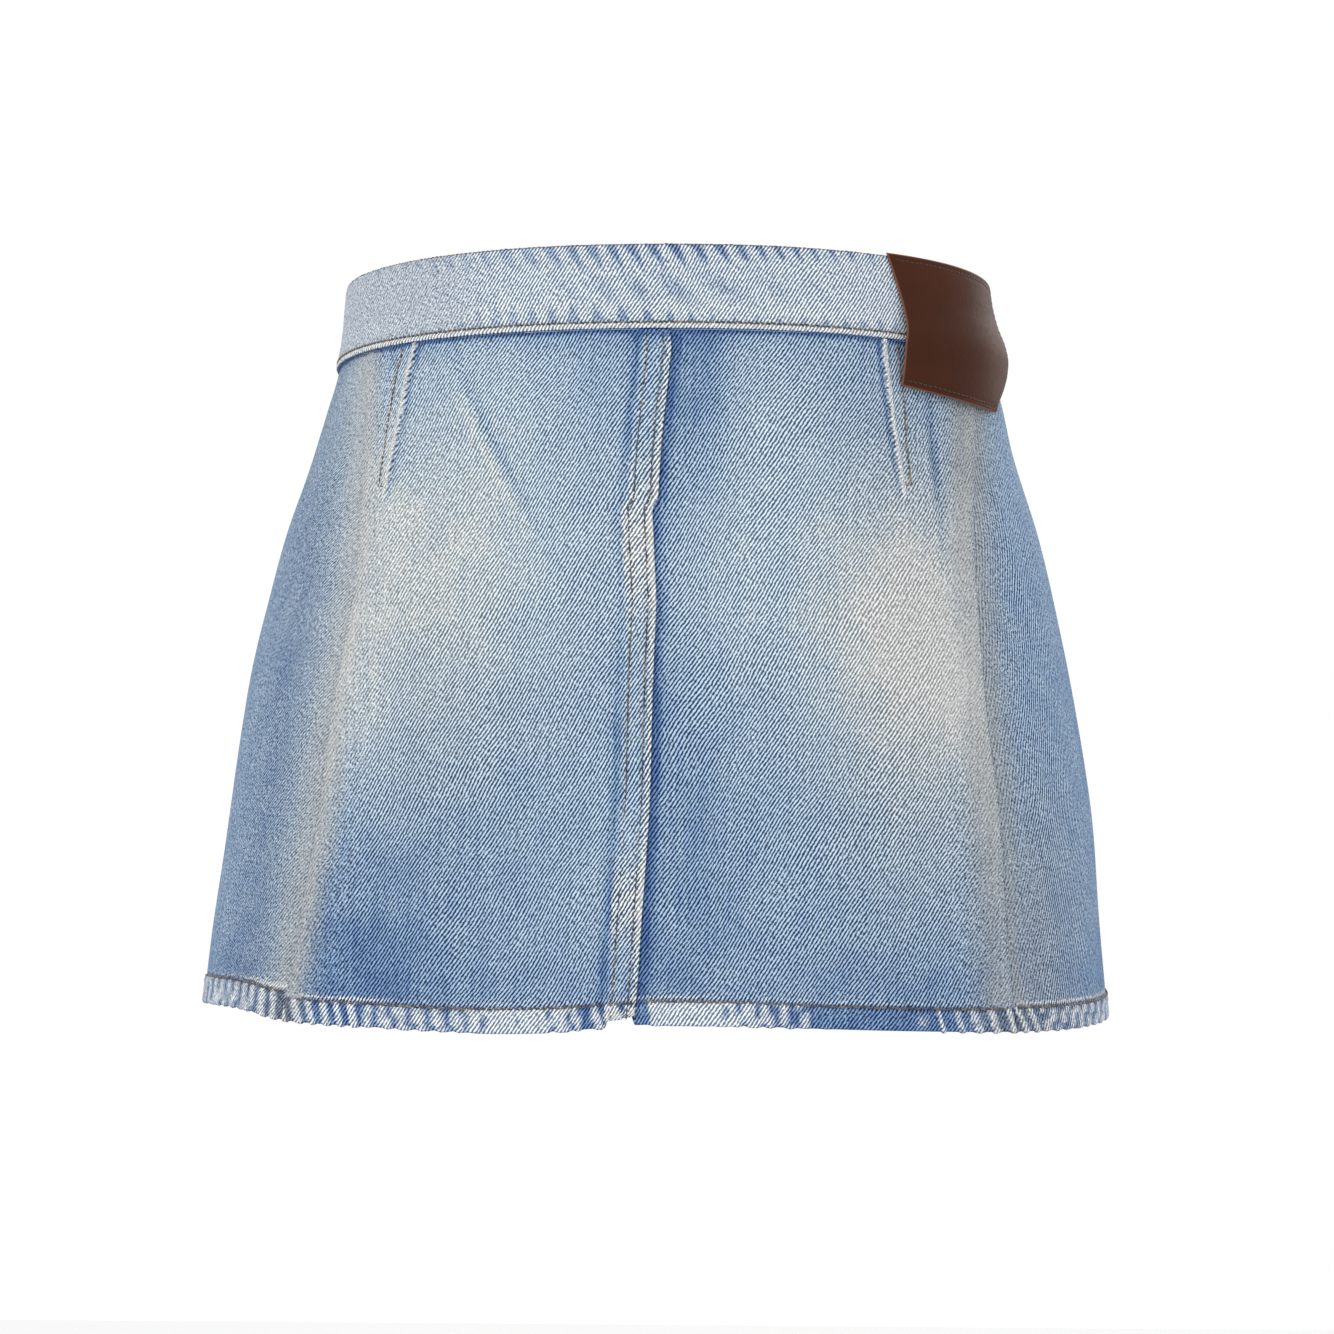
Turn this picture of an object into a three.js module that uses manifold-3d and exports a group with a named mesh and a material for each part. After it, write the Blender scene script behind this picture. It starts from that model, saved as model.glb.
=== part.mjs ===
// Denim mini skirt, worn: A-line, straight waistband, lapped centre seams, back darts, hip patch.
// Millimetres, +Z up. The wearer faces -Y and the wearer's left is +X.
// The origin is the centre of the waistband at its mid-height.
import * as THREE from 'three';
import Module from 'manifold-3d';

// Driving sizes.
const bandHeight = 38;          // straight waistband
const sideLength = 330;         // waist edge to hem at the side
const sideTop = 19;             // waist edge above the origin at the side
const backRise = 13.5;          // how far the waist edge is higher at the centre back
const cloth = 1.4;              // one layer of denim, with its nap
const gap = 0.3;                // between pieces where they meet
const bandCloth = 3;            // waistband: two layers and their seam turnings
const bandBevel = 0.6;          // rounding of the band's long edges
const bandRoll = 2;             // height of that rounding
const lapWidth = 12.4;          // raised strip of a lapped seam
const lapSlope = 2.6;           // where the strip comes down to the panel
const lapCover = 11.6;          // how far the under panel reaches below the strip
const dartRise = 1.2;           // folded dart below the cloth
const dartWidth = 9;            // width of that fold, pressed to the side
const dartTip = 107;            // where the dart ends, from the waist edge
const dartFade = 22;            // the fold flattens over this length above its tip
const hemHeight = 11;           // turned hem
const hemOut = 0.7;             // the hem's swell on the outside
const hemIn = 0.8;              // and on the inside
const hemNotch = 3.8;           // both layers end this much above the hem at a lapped seam
const frontEdge = -6;           // the fly's edge, past the centre front
const underEnd = 24;            // the band's under end, on the other side of it
const shieldLength = 122;       // fly shield, below the band
const patchTop = -1;            // leather patch: its sewn edge, down from the waist edge
const patchFall = 58;           // its lower edge, at the end near the dart
const patchTurn = 4.6;          // and how much lower that edge hangs at the far end
const patchCloth = 1.5;         // its leather
const buttonRadius = 8.5;
const postRadius = 2.2;
const backCells = 8;            // columns from the centre seam to the dart
const sideCells = 3;            // and from the dart to the side seam
const frontCells = 20;          // columns from the centre front to the side seam
const bandCells = 54;           // columns round the waistband

// Sections of the skirt, by distance down from the waist edge. A section is a superellipse of
// halfWidth and two depths; shift moves it towards +X; seamLeft and seamRight are the angles from the
// centre back at which the side seams stand.
const levels = [
  // down, halfWidth, backDepth, frontDepth, squareness, shift, seamLeft, seamRight
  [0, 146.9, 98, 94, 2.12, -1.2, 68, 72],
  [38, 151.6, 101.5, 97.5, 2.18, -1.2, 67.8, 72],
  [58, 156.8, 105.8, 100.8, 2.22, -0.8, 64.6, 70.5],
  [76, 161.6, 108.8, 103, 2.25, 0, 61.6, 68],
  [115, 174.1, 114.5, 107.5, 2.3, 0.5, 57.1, 62.3],
  [150, 182.9, 118.5, 111.5, 2.34, 0.9, 55.6, 60.1],
  [190, 191.5, 121, 115.5, 2.38, 1.3, 56.2, 59.3],
  [240, 199.2, 123, 119.5, 2.42, 1.1, 57.1, 59.4],
  [290, 204.5, 125, 123.5, 2.46, 2.7, 58, 59.6],
  [330, 209, 126.5, 126.5, 2.5, 3.6, 58.8, 59.8],
].map(([down, halfWidth, backDepth, frontDepth, squareness, shift, seamLeft, seamRight]) => (
  { down, halfWidth, backDepth, frontDepth, squareness, shift, seamLeft, seamRight }));
// Height of the hem's edge round the skirt.
const hemLine = [
  { angle: -180, z: -309 }, { angle: -140, z: -311 }, { angle: -105, z: -313 }, { angle: -75, z: -316.2 },
  { angle: -58, z: -315.4 }, { angle: -35, z: -312.8 }, { angle: -12, z: -310.6 }, { angle: 0, z: -310.8 },
  { angle: 15, z: -313.6 }, { angle: 30, z: -314.6 }, { angle: 45, z: -313.4 }, { angle: 58, z: -311.8 },
  { angle: 66, z: -308.6 }, { angle: 78, z: -308.2 }, { angle: 90, z: -310.4 }, { angle: 140, z: -310 },
  { angle: 180, z: -309 },
];
// Soft flare folds: a ridge or a hollow that grows from `from` down to the hem.
const folds = [
  { angle: 59.5, width: 7, height: 3, from: 60 },
  { angle: 71, width: 7, height: -2, from: 110 },
  { angle: -60.5, width: 8, height: 3.2, from: 40 },
  { angle: -73, width: 7, height: -1.8, from: 90 },
  { angle: 27, width: 13, height: -2.2, from: 190 },
  { angle: -24, width: 12, height: -1.6, from: 210 },
  { angle: 150, width: 12, height: 4, from: 120 },
  { angle: 127, width: 10, height: -3, from: 130 },
  { angle: -147, width: 11, height: 3.4, from: 130 },
  { angle: -121, width: 10, height: -2.6, from: 120 },
  { angle: 180, width: 9, height: -1.5, from: 200 },
];
// Free edge of the centre back lap, as a distance from the centre towards +X.
const backLap = [
  { down: 38, edge: -7.4 }, { down: 46, edge: -8 }, { down: 89, edge: -5.2 }, { down: 110, edge: -4.2 },
  { down: 114, edge: -1.8 }, { down: 152, edge: -4.3 }, { down: 227, edge: -2.1 }, { down: 310, edge: 1.1 },
  { down: 330, edge: 2.4 },
];
// Dart lines of the two back panels.
const darts = {
  left: [{ down: 38, angle: 54.8 }, { down: 50, angle: 54.7 }, { down: 66, angle: 53.9 },
    { down: 82, angle: 53.5 }, { down: 107, angle: 53.3 }, { down: 140, angle: 49.5 }],
  right: [{ down: 38, angle: -51.4 }, { down: 54, angle: -50.5 }, { down: 75, angle: -50.25 },
    { down: 107, angle: -50.35 }],
};
// Leather patch, by distance down from the waist edge: its side edges as angles, and how far it
// stands off the panels' face at each of them, so that it clears the band and falls below it.
const patchShape = [
  // down, near, far, nearOff, farOff
  [-1, -53.9, -88, 1.8, 1.8],
  [9, -55, -88.4, 1.9, 2.1],
  [18, -55.8, -88.5, 2.2, 3.4],
  [26, -56, -88.2, 3.2, 5.6],
  [33, -55.8, -87.8, 4.2, 6.3],
  [40, -55, -86, 4.3, 5.2],
  [48, -54.2, -82, 3.3, 3.7],
  [56, -53.2, -77.6, 2.4, 2.8],
  [63, -52.4, -74.8, 2, 2.3],
].map(([down, near, far, nearOff, farOff]) => ({ down, near, far, nearOff, farOff }));
const panelRows = [bandHeight + gap, 42, 46, 54, 66, 78, 90, dartTip, 110, 114, 130, 150, 175, 200, 228, 256,
  284, 306, sideLength - hemHeight - 1.5, sideLength - hemHeight + 0.5, sideLength];

const toRad = THREE.MathUtils.degToRad;
const mix = THREE.MathUtils.lerp;
const smooth = THREE.MathUtils.smoothstep;

// Straight-line reading of a table.
function read(table, key, column, at) {
  let k = 1;
  while (k < table.length - 1 && at > table[k][key]) k += 1;
  const a = table[k - 1];
  const b = table[k];
  const share = THREE.MathUtils.clamp((at - a[key]) / (b[key] - a[key]), 0, 1);
  return mix(a[column], b[column], share);
}

// Smooth reading of a table: a cubic whose slope at a row is the mean of its two neighbours'.
function readSmooth(table, key, column, at) {
  const last = table.length - 1;
  let k = 0;
  while (k < last - 1 && at > table[k + 1][key]) k += 1;
  const slope = (i) => (table[i + 1][column] - table[i][column]) / (table[i + 1][key] - table[i][key]);
  const rowSlope = (i) => (i === 0 ? slope(0) : i === last ? slope(last - 1) : (slope(i - 1) + slope(i)) / 2);
  const span = table[k + 1][key] - table[k][key];
  const s = (at - table[k][key]) / span;
  const t = 1 - s;
  return (1 + 2 * s) * t * t * table[k][column] + s * t * t * span * rowSlope(k)
    + s * s * (1 + 2 * t) * table[k + 1][column] - s * s * t * span * rowSlope(k + 1);
}

// Angles run from the centre back towards +X, in degrees, and are wrapped to -180..180.
const wrap = (angle) => THREE.MathUtils.euclideanModulo(angle + 180, 360) - 180;

function foldRelief(angle, down) {
  return folds.reduce((sum, fold) => {
    const grown = THREE.MathUtils.clamp((down - fold.from) / (sideLength - fold.from), 0, 1);
    return sum + fold.height * grown * Math.exp(-((wrap(angle - fold.angle) / fold.width) ** 2));
  }, 0);
}

// Distance from the axis to the panels' outer face.
function radius(angle, down) {
  const at = (column) => readSmooth(levels, 'down', column, down);
  const c = Math.cos(toRad(angle));
  const s = Math.sin(toRad(angle));
  const depth = c > 0 ? at('backDepth') : at('frontDepth');
  const power = at('squareness');
  const sum = Math.abs(s / at('halfWidth')) ** power + Math.abs(c / depth) ** power;
  return sum ** (-1 / power) + foldRelief(angle, down);
}

// The waist edge lies in a plane that rises to the back; below the band the rows spread to the hem.
function height(angle, down) {
  const top = sideTop + (backRise / levels[0].backDepth) * radius(angle, 0) * Math.cos(toRad(angle));
  if (down <= bandHeight) return top - down;
  const share = (down - bandHeight) / (sideLength - bandHeight);
  return mix(top - bandHeight, readSmooth(hemLine, 'angle', 'z', wrap(angle)), share);
}

// A point of the skirt, moved out of the panels' face by `off`.
function place(angle, down, off = 0) {
  const r = radius(angle, down);
  const turn = (radius(angle + 0.05, down) - radius(angle - 0.05, down)) / (2 * toRad(0.05));
  const c = Math.cos(toRad(angle));
  const s = Math.sin(toRad(angle));
  const tangent = new THREE.Vector2(turn * s + r * c, turn * c - r * s).normalize();
  const shift = readSmooth(levels, 'down', 'shift', down);
  return new THREE.Vector3(r * s + shift - tangent.y * off, r * c + tangent.x * off, height(angle, down));
}

// Degrees that `mm` of cloth takes up round the skirt near an angle.
function span(mm, angle, down) {
  return mm / place(angle - 0.5, down).distanceTo(place(angle + 0.5, down));
}

// A closed wall from a grid of columns and rows. cell(row, column) gives angle, down, outer and inner
// offsets, and lift, which raises the point's height.
function wall(rowCount, columnCount, cell) {
  const positions = [];
  for (const side of ['outer', 'inner']) {
    for (let i = 0; i < rowCount; i += 1) {
      for (let j = 0; j < columnCount; j += 1) {
        const spot = cell(i, j);
        const p = place(spot.angle, spot.down, spot[side]);
        positions.push(p.x, p.y, p.z + (spot.lift ?? 0));
      }
    }
  }
  const outer = (i, j) => i * columnCount + j;
  const inner = (i, j) => rowCount * columnCount + i * columnCount + j;
  const last = rowCount - 1;
  const end = columnCount - 1;
  const faces = [];
  const quad = (a, b, c, d) => faces.push(a, b, c, a, c, d);
  for (let i = 0; i < last; i += 1) {
    for (let j = 0; j < end; j += 1) {
      quad(outer(i, j), outer(i, j + 1), outer(i + 1, j + 1), outer(i + 1, j));
      quad(inner(i, j), inner(i + 1, j), inner(i + 1, j + 1), inner(i, j + 1));
    }
  }
  for (let j = 0; j < end; j += 1) {
    quad(inner(0, j), inner(0, j + 1), outer(0, j + 1), outer(0, j));
    quad(outer(last, j), outer(last, j + 1), inner(last, j + 1), inner(last, j));
  }
  for (let i = 0; i < last; i += 1) {
    quad(outer(i, 0), outer(i + 1, 0), inner(i + 1, 0), inner(i, 0));
    quad(inner(i, end), inner(i + 1, end), outer(i + 1, end), outer(i, end));
  }
  const geometry = new THREE.BufferGeometry();
  geometry.setAttribute('position', new THREE.Float32BufferAttribute(positions, 3));
  geometry.setIndex(volume(positions, faces) < 0 ? faces.reverse() : faces);
  geometry.computeVertexNormals();
  return geometry;
}

// Signed volume of a closed mesh: negative when its faces point in.
function volume(positions, faces) {
  const corner = (n) => new THREE.Vector3().fromArray(positions, faces[n] * 3);
  let sum = 0;
  for (let n = 0; n < faces.length; n += 3) sum += corner(n).dot(corner(n + 1).cross(corner(n + 2))) / 6;
  return sum;
}

// Evenly spaced columns between two angles, without the first.
function between(from, to, count) {
  return Array.from({ length: count }, (_, k) => ({ angle: mix(from, to, (k + 1) / count), rise: 0 }));
}

// Columns of the lapping panel at a centre seam, from its free edge. sense is +1 when the panel
// goes on towards larger angles.
function lapColumns(centre, edge, sense, down) {
  const rise = cloth + gap;
  const at = (mm) => centre + span(edge * (centre === 0 ? 1 : -1) + sense * mm, centre, down);
  return [
    { angle: at(0), rise, strip: 1 },
    { angle: at(2), rise, strip: 1 },
    { angle: at(lapWidth), rise, strip: 1 },
    { angle: at(lapWidth + lapSlope), rise: 0 },
  ];
}

// Columns of the panel below it, from its hidden edge. They run on past the lap's free edge.
function underColumns(centre, edge, sense, down) {
  const at = (mm) => centre + span(edge * (centre === 0 ? 1 : -1) + sense * mm, centre, down);
  return [
    { angle: at(-lapCover), rise: 0, notch: 1 },
    { angle: at(-lapCover / 2), rise: 0, notch: 1 },
    { angle: at(-0.6), rise: 0, notch: 1 },
    { angle: at(1.5), rise: 0 },
  ];
}

// Columns over a dart: a sharp step on the centre's side, then a fold that falls away to the side.
function dartColumns(line, sense, down) {
  const angle = read(line, 'down', 'angle', down);
  const fade = 1 - smooth(down, dartTip - dartFade, dartTip);
  const at = (mm) => angle + sense * span(mm, angle, down);
  return [
    { angle: at(-0.6), rise: 0 },
    { angle: at(0.2), rise: dartRise * fade },
    { angle: at(dartWidth * 0.5), rise: dartRise * 0.7 * fade },
    { angle: at(dartWidth), rise: 0 },
  ];
}

// A panel is a wall whose columns are worked out row by row. The hem is thicker.
function panel(columnsAt) {
  const rows = panelRows.map((down) => ({ down, columns: columnsAt(down) }));
  return wall(rows.length, rows[0].columns.length, (i, j) => {
    const { down, columns } = rows[i];
    const { angle, rise, strip = 0, notch = strip } = columns[j];
    const inHem = down > sideLength - hemHeight ? 1 : 0;
    const base = rise + hemOut * inHem * strip;
    const inward = cloth + hemIn * inHem * (1 - strip);
    const lift = down === sideLength ? hemNotch * notch : 0;
    return { angle, down, lift, outer: base + hemOut * inHem, inner: base - inward };
  });
}

const seamSide = (sense) => (sense > 0 ? 'seamLeft' : 'seamRight');
const seamAt = (down, sense) => sense * readSmooth(levels, 'down', seamSide(sense), down);
// A little over half the gap, because the seams slope.
const halfGap = (down, sense) => sense * span(gap * 0.6, seamAt(down, sense), down);

// Back left: its edge laps over the right panel at the centre back.
function backLeft(down) {
  const lap = lapColumns(0, read(backLap, 'down', 'edge', down), 1, down);
  const dart = dartColumns(darts.left, 1, down);
  return [...lap, ...between(lap[3].angle, dart[0].angle, backCells), ...dart.slice(1),
    ...between(dart[3].angle, seamAt(down, 1) - halfGap(down, 1), sideCells)];
}

function backRight(down) {
  const under = underColumns(0, read(backLap, 'down', 'edge', down), -1, down);
  const dart = dartColumns(darts.right, -1, down);
  return [...under, ...between(under[3].angle, dart[0].angle, backCells), ...dart.slice(1),
    ...between(dart[3].angle, seamAt(down, -1) - halfGap(down, -1), sideCells)];
}

// Front left: its edge laps over the right panel, as the fly and the seam below it.
function frontLeft(down) {
  const lap = lapColumns(180, frontEdge, -1, down);
  return [...lap, ...between(lap[3].angle, seamAt(down, 1) + halfGap(down, 1), frontCells)];
}

function frontRight(down) {
  const under = underColumns(-180, frontEdge, 1, down);
  return [...under, ...between(under[3].angle, seamAt(down, -1) + halfGap(down, -1), frontCells)];
}

// Columns of the waistband, from its under end right round to the end that laps over it.
function bandColumns(down) {
  const at = (mm) => 180 - span(mm, 180, down);
  const over = bandCloth + gap;
  const start = at(underEnd) - 360;
  const lapStart = at(underEnd + 6);
  return [
    { angle: start, rise: 0 },
    ...between(start, lapStart, bandCells),
    { angle: at(underEnd + 1), rise: over },
    { angle: at(8), rise: over },
    { angle: at(frontEdge + 1), rise: over },
    { angle: at(frontEdge), rise: over - bandBevel, drop: bandBevel },
  ];
}

function waistband() {
  const rows = [0, bandRoll, bandHeight / 2, bandHeight - bandRoll, bandHeight];
  return wall(rows.length, bandColumns(0).length, (i, j) => {
    const { angle, rise } = bandColumns(rows[i])[j];
    const bevel = i === 0 || i === rows.length - 1 ? bandBevel : 0;
    return { angle, down: rows[i], outer: rise + bandCloth / 2 - bevel, inner: rise - bandCloth / 2 + bevel };
  });
}

// Fly shield: a strip behind the front lap, sewn to the right panel's edge.
function flyShield() {
  const rows = [bandHeight + gap, 60, 84, 108, 134, bandHeight + gap + shieldLength];
  const marks = [-12, -2, 8, 17, underEnd + 2];
  return wall(rows.length, marks.length, (i, j) => {
    const round = i === rows.length - 1 ? Math.max(0, j - 1) * 5 : 0;
    const down = rows[i] - round;
    const outer = -cloth - gap;
    return { angle: 180 - span(marks[j], 180, down), down, outer, inner: outer - cloth };
  });
}

// Leather patch: sewn at the waist edge, loose below, bowed out over the band's lower seam.
function leatherPatch() {
  const rowCount = 11;
  const columnCount = 13;
  return wall(rowCount, columnCount, (i, j) => {
    const share = j / (columnCount - 1);
    const fall = patchFall + patchTurn * Math.sin(toRad(90 * share));
    const down = mix(patchTop, fall, i / (rowCount - 1));
    const shape = (column) => readSmooth(patchShape, 'down', column, down);
    const stand = mix(shape('nearOff'), shape('farOff'), share ** 2);
    return { angle: mix(shape('near'), shape('far'), share), down, outer: stand + patchCloth, inner: stand };
  });
}

// Seat of the button: a point on the band's middle layer and the square direction out of the band.
function buttonSeat() {
  const middle = bandHeight / 2;
  const angle = 180 - span((underEnd + frontEdge) / 2, 180, middle);
  const along = place(angle + 3, middle).sub(place(angle - 3, middle));
  const downward = place(angle, middle + 8).sub(place(angle, middle - 8));
  return { point: place(angle, middle), out: along.cross(downward).normalize() };
}

// Turned about its post: cap in front, post through both layers of the band, tack behind.
function shankButton() {
  const back = -bandCloth / 2 - gap;
  const front = bandCloth * 1.5 + gap * 2;
  const profile = [
    [0, back - 1.6], [3.6, back - 1.4], [4.4, back - 0.8], [4.4, back], [postRadius, back],
    [postRadius, front + 0.2], [5.2, front + 0.4], [7.6, front], [8.3, front + 0.5],
    [buttonRadius, front + 1.4], [8.1, front + 2.3], [7, front + 2.7], [5.6, front + 2.4],
    [2.6, front + 2.4], [0, front + 2.9],
  ].map(([r, y]) => new THREE.Vector2(r, y));
  return new THREE.LatheGeometry(profile, 28);
}

// Closed meshes to solids and back, for the holes that the post goes through.
async function pierce(geometry, drill) {
  const wasm = await Module();
  wasm.setup();
  const solid = (source) => {
    const mesh = new wasm.Mesh({
      numProp: 3,
      vertProperties: new Float32Array(source.attributes.position.array),
      triVerts: new Uint32Array(source.index.array),
    });
    mesh.merge();
    return new wasm.Manifold(mesh);
  };
  const cut = solid(geometry).subtract(solid(drill)).getMesh();
  const result = new THREE.BufferGeometry();
  result.setAttribute('position', new THREE.BufferAttribute(cut.vertProperties, 3));
  result.setIndex(new THREE.BufferAttribute(cut.triVerts, 1));
  return result;
}

const denim = (color) => new THREE.MeshStandardMaterial({ color, roughness: 0.9, metalness: 0 });
const materials = {
  backDenim: denim('#94a9bf'),
  frontDenim: denim('#869db6'),
  bandDenim: denim('#b9c4cf'),
  leather: new THREE.MeshStandardMaterial({ color: '#48302a', roughness: 0.45, metalness: 0 }),
  brass: new THREE.MeshStandardMaterial({ color: '#9a7b4f', roughness: 0.35, metalness: 1 }),
};

const skirt = new THREE.Group();
function add(name, geometry, material) {
  const mesh = new THREE.Mesh(geometry, material);
  mesh.name = name;
  skirt.add(mesh);
  return mesh;
}

const seat = buttonSeat();
const outward = new THREE.Quaternion().setFromUnitVectors(new THREE.Vector3(0, 1, 0), seat.out);
const drill = new THREE.CylinderGeometry(postRadius + gap, postRadius + gap, 40, 20);
drill.deleteAttribute('normal');
drill.deleteAttribute('uv');
drill.applyQuaternion(outward).translate(seat.point.x, seat.point.y, seat.point.z);

add('waistband', await pierce(waistband(), drill), materials.bandDenim);
add('back_left', panel(backLeft), materials.backDenim);
add('back_right', panel(backRight), materials.backDenim);
add('front_left', panel(frontLeft), materials.frontDenim);
add('front_right', panel(frontRight), materials.frontDenim);
add('fly_shield', flyShield(), materials.frontDenim);
add('leather_patch', leatherPatch(), materials.leather);
const button = add('waist_button', shankButton(), materials.brass);
button.quaternion.copy(outward);
button.position.copy(seat.point);

export default skirt;
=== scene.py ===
# Faded denim mini skirt, worn: the cloth's fine form, stitching, leather and finishes.
import math

import bpy
import numpy as np
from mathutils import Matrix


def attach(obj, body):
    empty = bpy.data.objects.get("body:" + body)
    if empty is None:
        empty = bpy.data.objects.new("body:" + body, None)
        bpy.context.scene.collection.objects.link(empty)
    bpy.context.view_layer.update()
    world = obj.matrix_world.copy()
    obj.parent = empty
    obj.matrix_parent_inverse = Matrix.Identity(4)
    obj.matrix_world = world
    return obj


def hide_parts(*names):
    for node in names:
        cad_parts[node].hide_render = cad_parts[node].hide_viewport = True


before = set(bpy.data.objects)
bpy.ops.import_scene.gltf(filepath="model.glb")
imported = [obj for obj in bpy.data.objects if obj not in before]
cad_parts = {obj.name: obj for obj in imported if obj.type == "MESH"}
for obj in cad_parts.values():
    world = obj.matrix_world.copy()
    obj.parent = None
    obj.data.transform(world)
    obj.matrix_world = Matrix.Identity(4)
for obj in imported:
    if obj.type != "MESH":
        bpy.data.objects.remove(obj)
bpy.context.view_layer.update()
print("frame loaded:", sorted(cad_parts))

millimetre = 0.001
rng = np.random.default_rng(7)

# Sizes in millimetres, as the solids have them.
skirt = {
    "bandHeight": 38.0,
    "sideLength": 330.0,
    "sideTop": 19.0,
    "backRise": 13.5,
    "cloth": 1.4,
    "gap": 0.3,
    "bandCloth": 3.0,
    "lapWidth": 12.4,
    "lapSlope": 2.6,
    "lapCover": 11.6,
    "dartRise": 1.2,
    "dartWidth": 9.0,
    "dartTip": 107.0,
    "dartFade": 22.0,
    "hemHeight": 11.0,
    "hemOut": 0.7,
    "hemIn": 0.8,
    "hemNotch": 3.8,
    "frontEdge": -6.0,
    "underEnd": 24.0,
    "shieldLength": 122.0,
    # Stitched rows: two from a lap's edge, and the band's lower one from the waist edge.
    "nearRow": 3.6,
    "farRow": 10.6,
    "bandRow": 34.8,
}

# Sections by distance down from the waist edge: a superellipse of one half width and two depths.
levels = {
    "down": [0, 38, 58, 76, 115, 150, 190, 240, 290, 330],
    "halfWidth": [146.9, 151.6, 156.8, 161.6, 174.1, 182.9, 191.5, 199.2, 204.5, 209],
    "backDepth": [98, 101.5, 105.8, 108.8, 114.5, 118.5, 121, 123, 125, 126.5],
    "frontDepth": [94, 97.5, 100.8, 103, 107.5, 111.5, 115.5, 119.5, 123.5, 126.5],
    "squareness": [2.12, 2.18, 2.22, 2.25, 2.3, 2.34, 2.38, 2.42, 2.46, 2.5],
    "shift": [-1.2, -1.2, -0.8, 0, 0.5, 0.9, 1.3, 1.1, 2.7, 3.6],
    "seamLeft": [68, 67.8, 64.6, 61.6, 57.1, 55.6, 56.2, 57.1, 58, 58.8],
    "seamRight": [72, 72, 70.5, 68, 62.3, 60.1, 59.3, 59.4, 59.6, 59.8],
}
hemLine = {
    "angle": [-180, -140, -105, -75, -58, -35, -12, 0, 15, 30, 45, 58, 66, 78, 90, 140, 180],
    "z": [-309, -311, -313, -316.2, -315.4, -312.8, -310.6, -310.8, -313.6, -314.6, -313.4, -311.8, -308.6,
          -308.2, -310.4, -310, -309],
}
# Flare folds that the solids have: each grows from `start` down to the hem.
flareFolds = {
    "angle": [59.5, 71, -60.5, -73, 27, -24, 150, 127, -147, -121, 180],
    "width": [7, 7, 8, 7, 13, 12, 12, 10, 11, 10, 9],
    "height": [3, -2, 3.2, -1.8, -2.2, -1.6, 4, -3, 3.4, -2.6, -1.5],
    "start": [60, 110, 40, 90, 190, 210, 120, 130, 130, 120, 200],
}
backLap = {
    "down": [38, 46, 89, 110, 114, 152, 227, 310, 330],
    "edge": [-7.4, -8, -5.2, -4.2, -1.8, -4.3, -2.1, 1.1, 2.4],
}
dartLines = {
    1: {"down": [38, 50, 66, 82, 107, 140], "angle": [54.8, 54.7, 53.9, 53.5, 53.3, 49.5]},
    -1: {"down": [38, 54, 75, 107], "angle": [-51.4, -50.5, -50.25, -50.35]},
}
# Small creases placed one by one: troughs and ridges along a slanted line, in mm and degrees.
creases = {
    "angle": [34, 36.8, -57.5, -70, 64, -36, 12, -15, 48, -47, 66, 105, -104, 135, -131, 160],
    "slant": [-0.294, -0.294, 0.05, -0.02, 0.03, -0.05, 0.01, 0,
              0.04, -0.03, 0.02, 0.02, -0.03, 0.04, -0.04, 0.02],
    "centre": [84, 84, 92, 110, 84, 128, 230, 215, 60, 62, 200, 95, 90, 150, 160, 250],
    "length": [34, 34, 26, 38, 30, 50, 60, 52, 18, 16, 70, 40, 44, 60, 56, 48],
    "width": [2.0, 3.0, 2.0, 3.4, 3.6, 7.0, 8.0, 7.0, 4.0, 4.2, 5.0, 6.0, 6.2, 7.5, 7.0, 8.0],
    "height": [-1.3, 0.6, -1.5, 0.9, -0.9, -0.55, -0.7, 0.5, 0.5, 0.5, -0.8, -0.9, -0.8, 0.9, -0.9, 0.8],
}


# Straight reading of a table's column.
def readLine(table, key, column, at):
    return np.interp(at, table[key], table[column])


# Cubic reading: the slope at a row is the mean of the slopes on both sides of it.
def readSmooth(table, key, column, at):
    x = np.asarray(table[key], float)
    y = np.asarray(table[column], float)
    at = np.asarray(at, float)
    i = np.clip(np.searchsorted(x, at) - 1, 0, len(x) - 2)
    d = np.diff(y) / np.diff(x)
    slope = np.concatenate([d[:1], (d[:-1] + d[1:]) / 2, d[-1:]])
    h = x[i + 1] - x[i]
    s = (at - x[i]) / h
    t = 1 - s
    return (
        (1 + 2 * s) * t * t * y[i]
        + s * t * t * h * slope[i]
        + s * s * (1 + 2 * t) * y[i + 1]
        - s * s * t * h * slope[i + 1]
    )


def wrap(angle):
    return (np.asarray(angle, float) + 180) % 360 - 180


# 0 below `low`, 1 above `high`, and a smooth S between them.
def ease(at, low, high):
    s = np.clip((at - low) / (high - low), 0, 1)
    return s * s * (3 - 2 * s)


# A bell of height 1 at 0, which falls away over `width`.
def bell(at, width):
    return np.exp(-((at / width) ** 2))


# Sum of the flare folds: height x share of the way down x bell across the fold.
def foldRelief(angle, down):
    total = 0
    for a, w, h, start in zip(*(flareFolds[c] for c in ("angle", "width", "height", "start"))):
        grown = np.clip((down - start) / (skirt["sideLength"] - start), 0, 1)
        total = total + h * grown * bell(wrap(angle - a), w)
    return total


# Radius of the panels' face: (|sin/a|^n + |cos/b|^n)^(-1/n), plus the folds.
def radius(angle, down):
    s = np.sin(np.radians(angle))
    c = np.cos(np.radians(angle))
    back = readSmooth(levels, "down", "backDepth", down)
    front = readSmooth(levels, "down", "frontDepth", down)
    n = readSmooth(levels, "down", "squareness", down)
    half = readSmooth(levels, "down", "halfWidth", down)
    total = np.abs(s / half) ** n + np.abs(c / np.where(c > 0, back, front)) ** n
    return total ** (-1 / n) + foldRelief(angle, down)


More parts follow.
